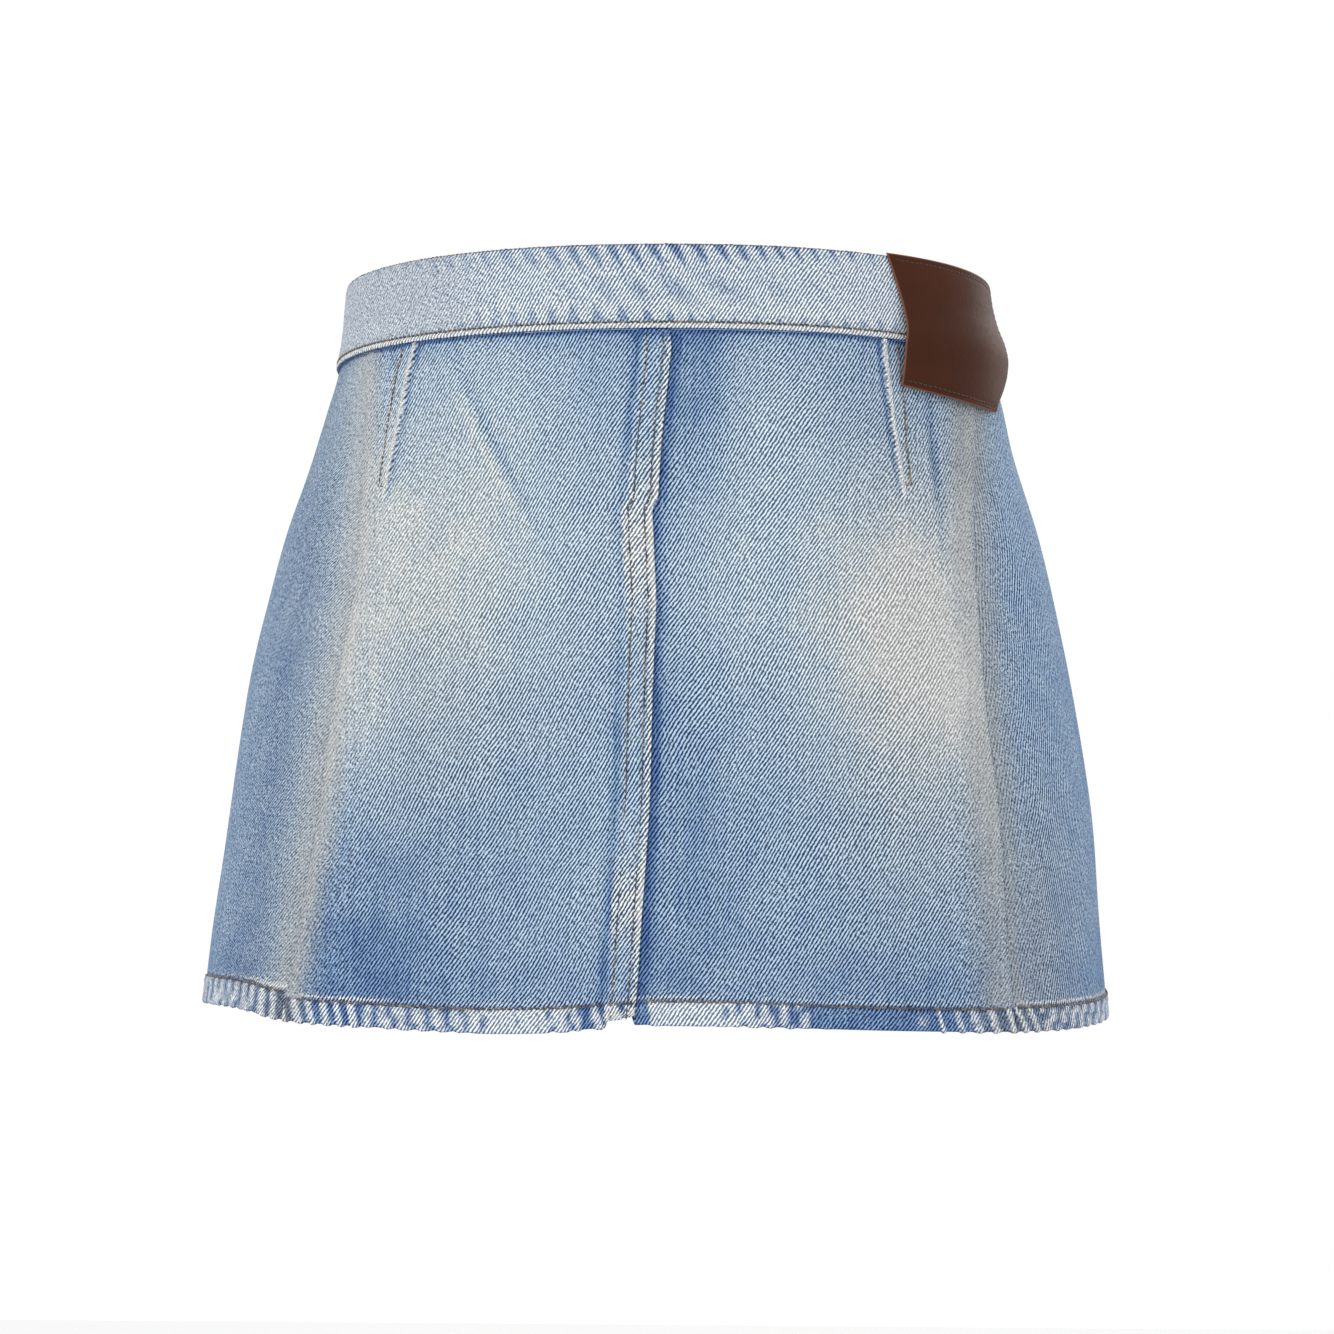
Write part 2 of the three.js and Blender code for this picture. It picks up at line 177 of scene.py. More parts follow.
# The waist edge lies in a tilted plane; below the band the rows spread evenly to the hem line.
def heightOf(angle, down):
    tilt = skirt["backRise"] / levels["backDepth"][0]
    top = skirt["sideTop"] + tilt * radius(angle, np.zeros_like(down)) * np.cos(np.radians(angle))
    band = skirt["bandHeight"]
    share = (down - band) / (skirt["sideLength"] - band)
    low = top - band + share * (readSmooth(hemLine, "angle", "z", wrap(angle)) - top + band)
    return np.where(down <= band, top - down, low)


# A point of the skirt, moved `off` out of the panels' face along the section's normal, in mm.
def place(angle, down, off=0.0):
    angle, down, off = np.broadcast_arrays(
        np.asarray(angle, float), np.asarray(down, float), np.asarray(off, float)
    )
    r = radius(angle, down)
    step = 0.05
    turn = (radius(angle + step, down) - radius(angle - step, down)) / (2 * np.radians(step))
    c = np.cos(np.radians(angle))
    s = np.sin(np.radians(angle))
    tx = turn * s + r * c
    ty = turn * c - r * s
    size = np.hypot(tx, ty)
    shift = readSmooth(levels, "down", "shift", down)
    x = r * s + shift - ty / size * off
    y = r * c + tx / size * off
    return np.stack([x, y, heightOf(angle, down)], -1)


# Millimetres of cloth in one degree round the skirt.
def perDegree(angle, down):
    return np.linalg.norm(place(angle + 0.5, down) - place(angle - 0.5, down), axis=-1)


# Creases that are finer than the solids: bell across a slanted line x bell along it. `count` takes only
# the first few of the table.
def creaseRelief(angle, down, count=None):
    total = 0
    names = ("angle", "slant", "centre", "length", "width", "height")
    for a, slant, centre, length, width, height in zip(*(creases[c][:count] for c in names)):
        across = wrap(angle - a - slant * (down - centre)) * 2.6
        total = total + height * bell(across, width) * bell(down - centre, length)
    return total


# Slow, shallow unevenness of laid cloth: a few sines of unlike lengths, in mm.
def handRelief(u, down):
    return (
        0.22 * np.sin(u / 17.0 + 0.8 * np.sin(down / 31.0))
        + 0.18 * np.sin(down / 23.0 + 1.1 * np.sin(u / 37.0) + 2.0)
        + 0.12 * np.sin(u / 9.0 - down / 13.0 + 0.7)
    )


# Steps between marks, closer together where the pitch is small: [(from, to, pitch), ...].
def stepsOf(*spans):
    parts = [np.linspace(a, b, max(2, int(round(abs(b - a) / p)) + 1))[:-1] for a, b, p in spans]
    return np.concatenate([*parts, [spans[-1][1]]])


# Half-round edge: how thick a wall is at a distance from its free edge, as a share.
def roundEdge(distance, reach):
    s = np.clip(distance / reach, 0, 1)
    return np.sqrt(np.clip(1 - (1 - s) ** 2, 0.0009, 1))


def newObject(name, mesh, material):
    thing = bpy.data.objects.new(name, mesh)
    bpy.context.scene.collection.objects.link(thing)
    mesh.materials.append(material)
    return thing


# Puts points (mm), quads, UV and point values into a mesh with smooth faces that point out.
def fillMesh(name, points, quads, uv, values):
    a, b, c, d = (points[quads[:, k]] for k in range(4))
    volume = (np.cross(b - a, c - a) * a).sum() + (np.cross(c - a, d - a) * a).sum()
    if volume < 0:
        quads = quads[:, ::-1]
    mesh = bpy.data.meshes.new(name)
    mesh.from_pydata([], [], [])
    mesh.vertices.add(len(points))
    mesh.vertices.foreach_set("co", (points * millimetre).astype(np.float32).ravel())
    mesh.loops.add(quads.size)
    mesh.loops.foreach_set("vertex_index", quads.astype(np.int32).ravel())
    mesh.polygons.add(len(quads))
    mesh.polygons.foreach_set("loop_start", np.arange(0, quads.size, 4, dtype=np.int32))
    mesh.update(calc_edges=True)
    layer = mesh.uv_layers.new(name="cloth")
    layer.data.foreach_set("uv", (uv[quads.ravel()] * millimetre).astype(np.float32).ravel())
    for key, value in values.items():
        attribute = mesh.attributes.new(key, "FLOAT", "POINT")
        attribute.data.foreach_set("value", np.asarray(value, np.float32).ravel())
    mesh.polygons.foreach_set("use_smooth", np.full(len(quads), True))
    mesh.validate()
    return mesh


# A closed wall from two grids of points: the outer face, the inner face and the four rims. `full` is 1
# away from the rims, where the inner face shows the cloth's pale back.
def wallMesh(name, outer, inner, uv, values, full):
    rows, columns = outer.shape[:2]
    index = np.arange(rows * columns).reshape(rows, columns)
    under = index + rows * columns

    def strip(a, b):
        return np.stack([a[:-1], a[1:], b[1:], b[:-1]], -1).reshape(-1, 4)

    def face(grid):
        return np.stack([grid[:-1, :-1], grid[:-1, 1:], grid[1:, 1:], grid[1:, :-1]], -1).reshape(-1, 4)

    quads = np.concatenate([
        face(index),
        face(under)[:, ::-1],
        strip(under[0], index[0]),
        strip(index[-1], under[-1]),
        strip(index[:, 0], under[:, 0]),
        strip(under[:, -1], index[:, -1]),
    ])
    points = np.concatenate([outer.reshape(-1, 3), inner.reshape(-1, 3)])
    flat = np.concatenate([uv.reshape(-1, 2)] * 2)
    both = {}
    for key, value in values.items():
        value = np.broadcast_to(np.clip(value, 0, 1.5), (rows, columns))
        both[key] = np.concatenate([value.ravel()] * 2)
    both["inside"] = np.concatenate([np.zeros(rows * columns), ease(full, 0.9, 1.0).ravel()])
    return fillMesh(name, points, quads, flat, both)


# Cloth coordinates: u is the distance along each row from the angle `centre`, v the way down.
def clothUv(angles, down, centre):
    face = place(angles, down)
    step = np.linalg.norm(np.diff(face, axis=1), axis=-1)
    u = np.concatenate([np.zeros((len(angles), 1)), np.cumsum(step, axis=1)], axis=1)
    sense = 1 if angles[0, -1] > angles[0, 0] else -1
    start = [np.interp(sense * centre, sense * a, b) for a, b in zip(angles, u)]
    return np.stack([sense * (u - np.array(start)[:, None]), down], -1)


def toLinear(colour):
    srgb = np.array([int(colour[k:k + 2], 16) for k in (1, 3, 5)]) / 255
    linear = np.where(srgb <= 0.04045, srgb / 12.92, ((srgb + 0.055) / 1.055) ** 2.4)
    return (*(float(v) for v in linear), 1.0)


# One node with its settings, and its sockets either given a value or linked to another's output.
def addNode(tree, kind, settings, sockets):
    node = tree.nodes.new(kind)
    for key, value in settings.items():
        setattr(node, key, value)
    for key, value in sockets.items():
        if isinstance(value, bpy.types.NodeSocket):
            tree.links.new(value, node.inputs[key])
        else:
            node.inputs[key].default_value = value
    return node


def newMaterial(name):
    material = bpy.data.materials.new(name)
    material.use_nodes = True
    material.node_tree.nodes.clear()
    return material


def rampOf(tree, factor, stops):
    node = addNode(tree, "ShaderNodeValToRGB", {}, {"Fac": factor})
    ramp = node.color_ramp
    while len(ramp.elements) < len(stops):
        ramp.elements.new(0.5)
    for element, (position, colour) in zip(ramp.elements, stops):
        element.position = position
        element.color = toLinear(colour)
    return node.outputs["Color"]


# Ends a material with its shader. `bump` is a strength, a distance in metres and a height.
def endMaterial(material, sockets, bump=None):
    tree = material.node_tree
    if bump:
        relief = addNode(tree, "ShaderNodeBump", {}, dict(zip(("Strength", "Distance", "Height"), bump)))
        sockets["Normal"] = relief.outputs["Normal"]
    shader = addNode(tree, "ShaderNodeBsdfPrincipled", {}, sockets)
    addNode(tree, "ShaderNodeOutputMaterial", {}, {"Surface": shader.outputs["BSDF"]})
    return material


# Stone-washed denim, a warp-faced 3x1 cotton twill: indigo warp over white weft, in wales that rise to
# the right. The wash leaves pale wales with dark lines between them, clear where the cloth lay flat,
# speckled near the seams, and cream where an edge was rubbed. The real wales are 1.2 mm apart; they
# are drawn a little coarser so that they show.
denim = {
    "wale": 1.42,         # mm from line to line, across them
    "waleSlope": 57.0,    # degrees above the row
    "dash": 2.0,          # mm that a wale keeps one shade
    "tones": [0.0, 0.16, 0.35, 0.55, 0.75, 0.9, 1.0],
    "dark": ["#13254a", "#1d314e", "#293e58", "#384d64", "#4d6075", "#68757f", "#84898d"],
    "light": ["#6286bd", "#92b3dc", "#b6d0ec", "#cce0f4", "#dcebf8", "#e8f1f8", "#f1f4f6"],
    "creamDark": "#8d959c",
    "creamLight": "#f8f8f4",
    "insideDark": "#7f8ea3",
    "insideLight": "#e8edf1",
    "beige": "#faf9f5",
    "crispDark": "#5b7591",
    "crispLight": "#fafcfd",
}


def denimMaterial(name):
    material = newMaterial(name)
    tree = material.node_tree

    def calc(operation, a, b=0.0, c=0.0, clamp=False):
        settings = {"operation": operation, "use_clamp": clamp}
        return addNode(tree, "ShaderNodeMath", settings, {0: a, 1: b, 2: c}).outputs[0]

    def vector(operation, a, b):
        node = addNode(tree, "ShaderNodeVectorMath", {"operation": operation}, {0: a, 1: b})
        return node.outputs["Value" if operation == "DOT_PRODUCT" else "Vector"]

    def noise(scale, detail, at):
        settings = {"noise_dimensions": "2D"}
        node = addNode(tree, "ShaderNodeTexNoise", settings, {"Vector": at, "Scale": scale, "Detail": detail})
        return calc("SUBTRACT", node.outputs["Fac"], 0.5)

    def value(key):
        return addNode(tree, "ShaderNodeAttribute", {"attribute_name": key}, {}).outputs["Fac"]

    def mixed(share, a, b, kind="MIX"):
        settings = {"data_type": "RGBA", "blend_type": kind}
        return addNode(tree, "ShaderNodeMix", settings, {0: share, 6: a, 7: b}).outputs[2]

    uv = addNode(tree, "ShaderNodeUVMap", {"uv_map": "cloth"}, {}).outputs["UV"]
    cloth = vector("MULTIPLY", uv, (1000.0, 1000.0, 1000.0))
    slope = np.radians(denim["waleSlope"])
    across = (float(np.sin(slope)) / denim["wale"], float(-np.cos(slope)) / denim["wale"], 0.0)
    along = (float(np.cos(slope)) / denim["dash"], float(np.sin(slope)) / denim["dash"], 0.0)
    drift = calc("MULTIPLY_ADD", noise(0.018, 1.0, cloth), 4.0, calc("MULTIPLY", noise(0.3, 1.0, cloth), 0.3))
    line = calc("ADD", drift, vector("DOT_PRODUCT", cloth, across))
    wave = calc("MULTIPLY", calc("SINE", calc("MULTIPLY", line, 2 * np.pi)), 0.5)
    ends = {0: vector("DOT_PRODUCT", cloth, along), 1: line}
    pair = addNode(tree, "ShaderNodeCombineXYZ", {}, ends).outputs[0]
    dash = noise(1.5, 1.0, pair)
    speck = noise(1.9, 2.0, vector("MULTIPLY", cloth, (1.0, 0.8, 1.0)))
    cloud = noise(0.06, 3.0, cloth)
    mottle = noise(0.32, 2.0, cloth)
    streak = noise(1.0, 2.0, vector("MULTIPLY", cloth, (0.7, 0.03, 1.0)))
    soft = calc("MULTIPLY_ADD", cloud, 0.9, calc("MULTIPLY_ADD", value("soft"), 0.9, 0.08), clamp=True)
    lines = calc("MULTIPLY", wave, calc("MULTIPLY_ADD", soft, -1.1, 1.75))
    spots = calc("MULTIPLY", speck, calc("MULTIPLY_ADD", soft, 1.7, 0.8))
    flecks = calc("MULTIPLY_ADD", dash, 2.2, calc("MULTIPLY_ADD", mottle, 0.5, spots))
    flat = calc("MULTIPLY_ADD", value("warm"), -0.5, calc("MULTIPLY_ADD", value("soft"), -0.3, 1.0))
    thread = calc("MULTIPLY_ADD", calc("ADD", lines, flecks), flat, 0.43, clamp=True)
    # Wash: the piece's own tone, with soft clouds and slubby streaks along the warp. The pieces' tone also holds
    # painted shade (under the band, along the hem's edge and stitched grooves, in creases, beside lap edges and
    # seams, towards the sides) and a little painted highlight on ridges.
    tone = calc("MULTIPLY_ADD", streak, 0.3, calc("MULTIPLY_ADD", cloud, 0.28, value("tone")), clamp=True)
    dark = rampOf(tree, tone, list(zip(denim["tones"], denim["dark"])))
    light = rampOf(tree, tone, list(zip(denim["tones"], denim["light"])))
    # Crisp: bleached wales left white between blue-grey lines.
    dark = mixed(value("crisp"), dark, toLinear(denim["crispDark"]))
    light = mixed(value("crisp"), light, toLinear(denim["crispLight"]))
    blue = mixed(thread, dark, light)
    grey = addNode(tree, "ShaderNodeRGBToBW", {}, {"Color": blue}).outputs[0]
    greyed = mixed(1.0, grey, toLinear(denim["beige"]), "MULTIPLY")
    blue = mixed(value("warm"), blue, greyed)
    cream = mixed(thread, toLinear(denim["creamDark"]), toLinear(denim["creamLight"]))
    rubbed = calc("MULTIPLY_ADD", thread, 0.8, calc("MULTIPLY_ADD", value("worn"), 1.8, -0.85), clamp=True)
    outside = mixed(rubbed, blue, cream)
    inside = mixed(thread, toLinear(denim["insideDark"]), toLinear(denim["insideLight"]))
    colour = mixed(value("inside"), outside, inside)
    sockets = {
        "Base Color": colour,
        "Roughness": 0.92,
        "Specular IOR Level": 0.1,
        "Sheen Weight": 0.03,
        "Sheen Roughness": 0.6,
    }
    return endMaterial(material, sockets, (0.6, 0.0002, thread))


# Smooth chestnut cowhide, dyed through and lightly waxed: satin, with a fine pore and a paler cut edge.
leather = {"dye": "#4a2515", "deep": "#3c1e10", "cut": "#75503f"}


def leatherMaterial():
    material = newMaterial("waxed_chestnut_leather")
    tree = material.node_tree
    spot = addNode(tree, "ShaderNodeTexCoord", {}, {}).outputs["Object"]
    cloud = addNode(tree, "ShaderNodeTexNoise", {}, {"Vector": spot, "Scale": 28.0, "Detail": 5.0})
    pore = addNode(tree, "ShaderNodeTexVoronoi", {"feature": "F1"}, {"Vector": spot, "Scale": 900.0})
    grain = addNode(tree, "ShaderNodeTexNoise", {}, {"Vector": spot, "Scale": 420.0, "Detail": 4.0})
    grain = grain.outputs["Fac"]
    dye = rampOf(tree, cloud.outputs["Fac"], [(0.3, leather["deep"]), (0.7, leather["dye"])])
    edge = addNode(tree, "ShaderNodeAttribute", {"attribute_name": "cut"}, {}).outputs["Fac"]
    sockets = {0: edge, 6: dye, 7: toLinear(leather["cut"])}
    colour = addNode(tree, "ShaderNodeMix", {"data_type": "RGBA"}, sockets).outputs[2]
    sockets = {0: pore.outputs["Distance"], 1: 0.5, 2: grain}
    relief = addNode(tree, "ShaderNodeMath", {"operation": "MULTIPLY_ADD"}, sockets).outputs[0]
    gloss = addNode(tree, "ShaderNodeMapRange", {}, {"Value": grain, "To Min": 0.42, "To Max": 0.58})
    sockets = {"Base Color": colour, "Roughness": gloss.outputs["Result"], "Specular IOR Level": 0.08}
    return endMaterial(material, sockets, (0.25, 0.00025, relief))


# Corespun polyester topstitch thread, mercerised: gold-brown, a little shiny, faded stitch by stitch.
thread = {"pale": "#b3986a", "deep": "#463626", "leather": "#241610"}


def threadMaterial():
    material = newMaterial("gold_brown_topstitch")
    tree = material.node_tree
    shade = addNode(tree, "ShaderNodeAttribute", {"attribute_name": "shade"}, {}).outputs["Fac"]
    uv = addNode(tree, "ShaderNodeUVMap", {"uv_map": "cloth"}, {}).outputs["UV"]
    settings = {"bands_direction": "DIAGONAL"}
    twist = addNode(tree, "ShaderNodeTexWave", settings, {"Vector": uv, "Scale": 420.0}).outputs["Fac"]
    colour = rampOf(tree, shade, [(0.0, thread["leather"]), (0.25, thread["deep"]), (1.0, thread["pale"])])
    sockets = {"Base Color": colour, "Roughness": 0.55, "Sheen Weight": 0.2}
    return endMaterial(material, sockets, (0.4, 0.0001, twist))


denimCloth = denimMaterial("stonewashed_denim")
threadLook = threadMaterial()
leatherLook = leatherMaterial()
print("materials made")

# Wash of the back, in mm across (towards the wearer's left) and down: how much lighter each area is.
backWash = {
    "across": [85, 65, 126, 138, -100, -50, 16, -30, -24, 125, 18, -20, -115, -112, -128, -122, 30, 110],
    "down": [130, 60, 124, 192, 158, 78, 118, 140, 70, 308, 262, 262, 258, 312, 196, 120, 62, 262],
    "wide": [60, 45, 20, 24, 52, 30, 24, 26, 14, 36, 22, 14, 36, 40, 28, 20, 26, 44],
    "tall": [75, 30, 44, 40, 64, 46, 80, 42, 42, 36, 40, 60, 34, 26, 50, 30, 32, 24],
    "lighter": [
        0.53, 0.14, 0.24, 0.38, 0.57, 0.25, 0.1, 0.22, -0.24,
        -0.22, 0.1, -0.12, 0.06, -0.06, 0.28, 0.14, -0.1, -0.1,
    ],
}
frontWash = {
    "across": [78, -78, 60, -60, 120, -120],
    "down": [140, 146, 60, 62, 300, 300],
    "wide": [44, 42, 40, 40, 44, 44],
    "tall": [70, 66, 26, 26, 40, 40],
    "lighter": [0.46, 0.44, 0.14, 0.14, -0.14, -0.14],
}


def washTone(wash, across, down, base):
    tone = base - 0.06 * ease(down, 276, 312)
    for x, y, wide, tall, lighter in zip(*wash.values()):
        tone = tone + lighter * bell(across - x, wide) * bell(down - y, tall)
    return tone


# Roping: the twisted look of a turned edge. Slanted puckers about `pitch` apart, uneven along the edge.
def roping(u, away, pitch, seed):
    drift = 1.3 * np.sin(u / 31.0 + seed) + 0.9 * np.sin(u / 13.0 + 2.3 * seed)
    return np.sin(2 * np.pi * (u - away * 0.65) / pitch + drift)


# The rows of a panel: fine at the band, even down the panel, fine again in the hem.
def panelRows(dartPitch):
    top = skirt["bandHeight"] + skirt["gap"]
    tip = skirt["dartTip"] + 4
    hem = skirt["sideLength"] - skirt["hemHeight"]
    edge = skirt["sideLength"] - 1.2
    return stepsOf((top, top + 0.7, 0.14), (top + 0.7, top + 3, 0.8), (top + 3, tip, dartPitch),
                   (tip, hem - 5, 2.2), (hem - 5, edge, 0.62), (edge, skirt["sideLength"], 0.2))


# Where the turned hem is paler or darker, by the distance u along it.
hemBlots = {
    "at": [54, -17, -46, 100, 132, -100, 22, 0.5],
    "wide": [24, 15, 16, 20, 30, 34, 4, 3.4],
    "paler": [1.3, 1.2, 0.5, 0.25, 0.1, -1.7, -1.9, -2.4],
}


# One panel: from its columns (angles row by row) and its edge distances to a closed, finished wall.
def panelShell(name, angles, down, marks, centre, hemRow):
    uv = clothUv(angles, down, centre)
    u = uv[..., 0]
    aboveHem = skirt["sideLength"] - down
    inHem = 1 - ease(aboveHem, hemRow - 0.4, hemRow + 0.9)
    strip = marks.get("strip", np.zeros_like(down))
    rise = (skirt["cloth"] + skirt["gap"]) * strip
    upper = rise + skirt["hemOut"] * inHem * (1 + strip)
    lower = upper - skirt["cloth"] - (skirt["hemIn"] + skirt["hemOut"]) * inHem * (1 - strip)
    lower = lower - (skirt["hemOut"] * inHem) * strip
    half = (upper - lower) / 2
    middle = (upper + lower) / 2
    thick = roundEdge(aboveHem, half)
    thick = thick * roundEdge(down - skirt["bandHeight"] - skirt["gap"] + 0.25, half)
    for edge in marks["edges"]:
        thick = thick * roundEdge(edge, half)
    for edge in marks["seams"]:
        thick = thick * (0.55 + 0.45 * roundEdge(edge, half * 0.7))
    relief = creaseRelief(angles, down) + handRelief(u, down)
    seamRow = bell(aboveHem - hemRow, 0.8)
    hemRope = roping(u, 0.5 * aboveHem, 7.6, 1.0) + 0.35 * roping(u, 0.5 * aboveHem, 4.7, 2.2)
    whiter = sum(paler * bell(u - at, wide) for at, wide, paler in zip(*hemBlots.values()))
    pale = ease(hemRope + whiter + 0.35 * np.sin(u / 43.0 + 2.0), -0.45, 0.35)
    skin = marks["skin"] - 0.32 * seamRow + 0.3 * (pale - 0.5) * inHem
    skin = skin + 0.25 * bell(aboveHem - hemRow + 2, 1.2)
    quiet = roundEdge(aboveHem, half)
    outer = place(angles, down, middle + half * thick + relief + skin * quiet)
    inner = place(angles, down, middle - half * thick + relief)
    top = skirt["bandHeight"] + skirt["gap"]
    # The top rows rise to the band, so that no light shows through the gap under it.
    lift = 0.8 * (0.5 - pale) * ease(down, 322, 330) + marks.get("lift", 0)
    lift = lift + 0.26 * (1 - ease(down, top, top + 1.0))
    outer[..., 2] += lift
    inner[..., 2] += lift
    shown = 0.4 + 0.6 * ease(u, 104, 122) + 0.45 * bell(u + 16, 14)
    above = bell(aboveHem - hemRow - 1.9, 0.9) * (1 - inHem) * np.minimum(shown, 1)
    # Painted shade: the hem's bottom edge (rim) and the groove of its stitched row (seamRow) are darkened in
    # tone, and the rim also gets less rubbed cream and fewer white wales.
    rim = bell(aboveHem, 0.5)
    soft = marks["soft"] * (1 - 0.5 * inHem)
    worn = marks["worn"] + 0.62 * above + 0.3 * pale * inHem - 0.8 * rim
    tone = marks["tone"] * (1 - inHem) + 0.08 * inHem - 0.5 * seamRow - 0.4 * rim
    crisp = pale * inHem * (1 - 0.7 * rim)
    values = {"tone": tone, "worn": worn, "warm": marks["warm"], "soft": soft, "crisp": crisp}
    mesh = wallMesh(name, outer, inner, uv, values, thick)
    piece = newObject(name, mesh, denimCloth)
    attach(piece, "root")
    return piece


# Angles at distances (mm) from a line that is itself an angle at each row.
def fromLine(line, steps, down, sense):
    scale = perDegree(line, down)
    return line[:, None] + sense * steps[None, :] / scale[:, None]


# Columns that run from one line to another with a share from 0 to 1.
def acrossLines(start, end, share):
    return start[:, None] + (end - start)[:, None] * share[None, :]


def seamLine(down, sense, gapSide):
    seam = sense * readSmooth(levels, "down", "seamLeft" if sense > 0 else "seamRight", down)
    return seam + gapSide * sense * 0.1 * skirt["gap"] / perDegree(seam, down)


hemRows = {"back": 9.9, "frontLeft": 12.4, "frontRight": 10.4}


# Height of a dart's fold across it, as a share: a rope at its edge, then a flat that falls away.
def dartFold(fromDart):
    rope = ease(fromDart, -0.45, 0.4) * (1 - 0.5 * ease(fromDart, 1.6, 3.6))
    return rope * (1 - ease(fromDart, 5.0, skirt["dartWidth"] + 1.0))


# How far the dart's stitched row lies from its edge.
def dartRow(down):
    return 8.0 - 2.9 * ease(down, 60, 100)


# Roping of a lap's folded edge: none at the edge itself, and none beyond the second stitched row.
def lapRope(down, fromEdge, pitch, seed):
    return roping(down, fromEdge, pitch, seed) * ease(fromEdge, 0.2, 1.6) * (1 - ease(fromEdge, 10.5, 13))


# A back panel: the lapped (+1) or the under (-1) side of the centre seam, the dart and the side seam.
def backPanel(name, sense):
    rows = panelRows(1.0)
    edgeAngle = readLine(backLap, "down", "edge", rows) / perDegree(np.zeros_like(rows), rows)
    dart = readLine(dartLines[sense], "down", "angle", rows)
    seam = seamLine(rows, sense, -1)
    if sense > 0:
        lapSteps = stepsOf((0, 0.9, 0.15), (0.9, 16, 0.55))
    else:
        cover = -skirt["lapCover"]
        lapSteps = stepsOf((cover, cover + 1, 0.25), (cover + 1, 6, 0.8))
    lap = fromLine(edgeAngle, lapSteps, rows, sense)
    dartColumns = fromLine(dart, stepsOf((-5, -1.2, 0.8), (-1.2, 3.2, 0.25), (3.2, 5.2, 0.7)), rows, sense)
    middle = acrossLines(lap[:, -1], dartColumns[:, 0], np.linspace(0, 1, 42)[1:-1])
    rest = seam[:, None] - fromLine(seam * 0, stepsOf((0, 0.8, 0.2), (0.8, 3, 0.7)), rows, sense)[:, ::-1]
    side = acrossLines(dartColumns[:, -1], rest[:, 0], np.linspace(0, 1, 20)[1:-1])
    angles = np.concatenate([lap, middle, dartColumns, side, rest], axis=1)
    down = np.broadcast_to(rows[:, None], angles.shape).copy()
    scale0 = perDegree(np.zeros_like(rows), rows)[:, None]
    fromEdge = (angles - edgeAngle[:, None]) * sense * scale0
    fromDart = (angles - dart[:, None]) * sense * perDegree(dart, rows)[:, None]
    fromSeam = (seam[:, None] - angles) * sense * perDegree(seam, rows)[:, None]
    across = place(angles, down)[..., 0]

    dartFade = 1 - ease(down, skirt["dartTip"] - skirt["dartFade"], skirt["dartTip"])
    dartLive = ease(skirt["dartTip"] + 1 - down, 0, 5)
    skin = skirt["dartRise"] * dartFold(fromDart) * dartFade - 0.3 * dartLive * bell(fromDart + 1.1, 0.9)
    skin = skin - 0.2 * dartLive * bell(fromDart - dartRow(down), 0.8)
    skin = skin + 0.4 * bell(fromDart - 1.0, 0.9) * dartLive
    skin = skin + 0.6 * bell(fromSeam - 4.0, 4.0)
    tone = washTone(backWash, across, down, 0.38)
    if sense > 0:
        nearSeam = 0.68 + 0.12 * bell(down - 160, 60) - 0.2 * ease(down, 200, 300)
        warm = 0.34 * bell(across - 102, 46) * bell(down - 160, 80)
        warm = np.maximum(warm, 0.66 * bell(fromSeam - 2, 9.0))
    else:
        nearSeam = 0.4 + 0.38 * bell(down - 178, 66)
        # Painted shade: a thin dark line along the side seam.
        tone = tone - 0.2 * bell(fromSeam, 3.0) * ease(down, 60, 110)
        warm = 0.54 * bell(across + 118, 40) * bell(down - 172, 84)
        warm = np.maximum(warm, 0.72 * bell(fromSeam - 6, 13.0) * (1 - 0.3 * ease(down, 220, 300)))
        tone = tone + 0.14 * bell(fromSeam - 15, 8) * bell(down - 185, 44)
    edgeShare = bell(fromSeam, 9.0)
    tone = tone * (1 - edgeShare) + nearSeam * edgeShare
    soft = 0.95 * (1 - ease(fromSeam, 7, 34))
    soft = np.maximum(soft, 0.45 * bell(fromSeam - 30, 30) * bell(down - 100, 70))
    soft = np.maximum(soft, bell(fromDart - 1.0, 2.2) * dartLive)
    # Lighter on the seam allowance's ridge, partly wear and partly a painted highlight; and painted shadow: a
    # dark line with a softer shade below it, right under the band.
    tone = tone + 0.1 * bell(fromSeam - 4.0, 3.0) - 0.7 * bell(down - 38.4, 1.2) - 0.08 * bell(down - 41, 5)
    # Painted shade in the troughs of the first creases, and a little painted light on the ridge among them.
    tone = tone + 0.3 * creaseRelief(angles, down, 3)
    worn = 1.6 * bell(fromDart - 1.1, 0.95) * dartLive
    # Darker just on the centre-back side of the dart's fold: painted shade of the fold together with the less
    # rubbed indigo there; a little paler between the fold and its stitched row.
    tone = tone - 0.34 * bell(fromDart + 1.5, 1.3) * dartLive + 0.1 * bell(fromDart - 5.5, 3.5) * dartLive
    marks = {"skin": skin, "tone": tone, "worn": worn, "warm": warm, "soft": soft}
    marks.update(edges=[], seams=[fromSeam])
    if sense > 0:
        strip = 1 - ease(fromEdge, skirt["lapWidth"], skirt["lapWidth"] + skirt["lapSlope"])
        rope = lapRope(down, fromEdge, 8.2, 0.4)
        sewn = bell(fromEdge - skirt["nearRow"], 0.7) + bell(fromEdge - skirt["farRow"], 0.7)
        cream = bell(down - 130, 30) + 0.8 * bell(down - 278, 18) + 0.85 * ease(down, 321, 324)
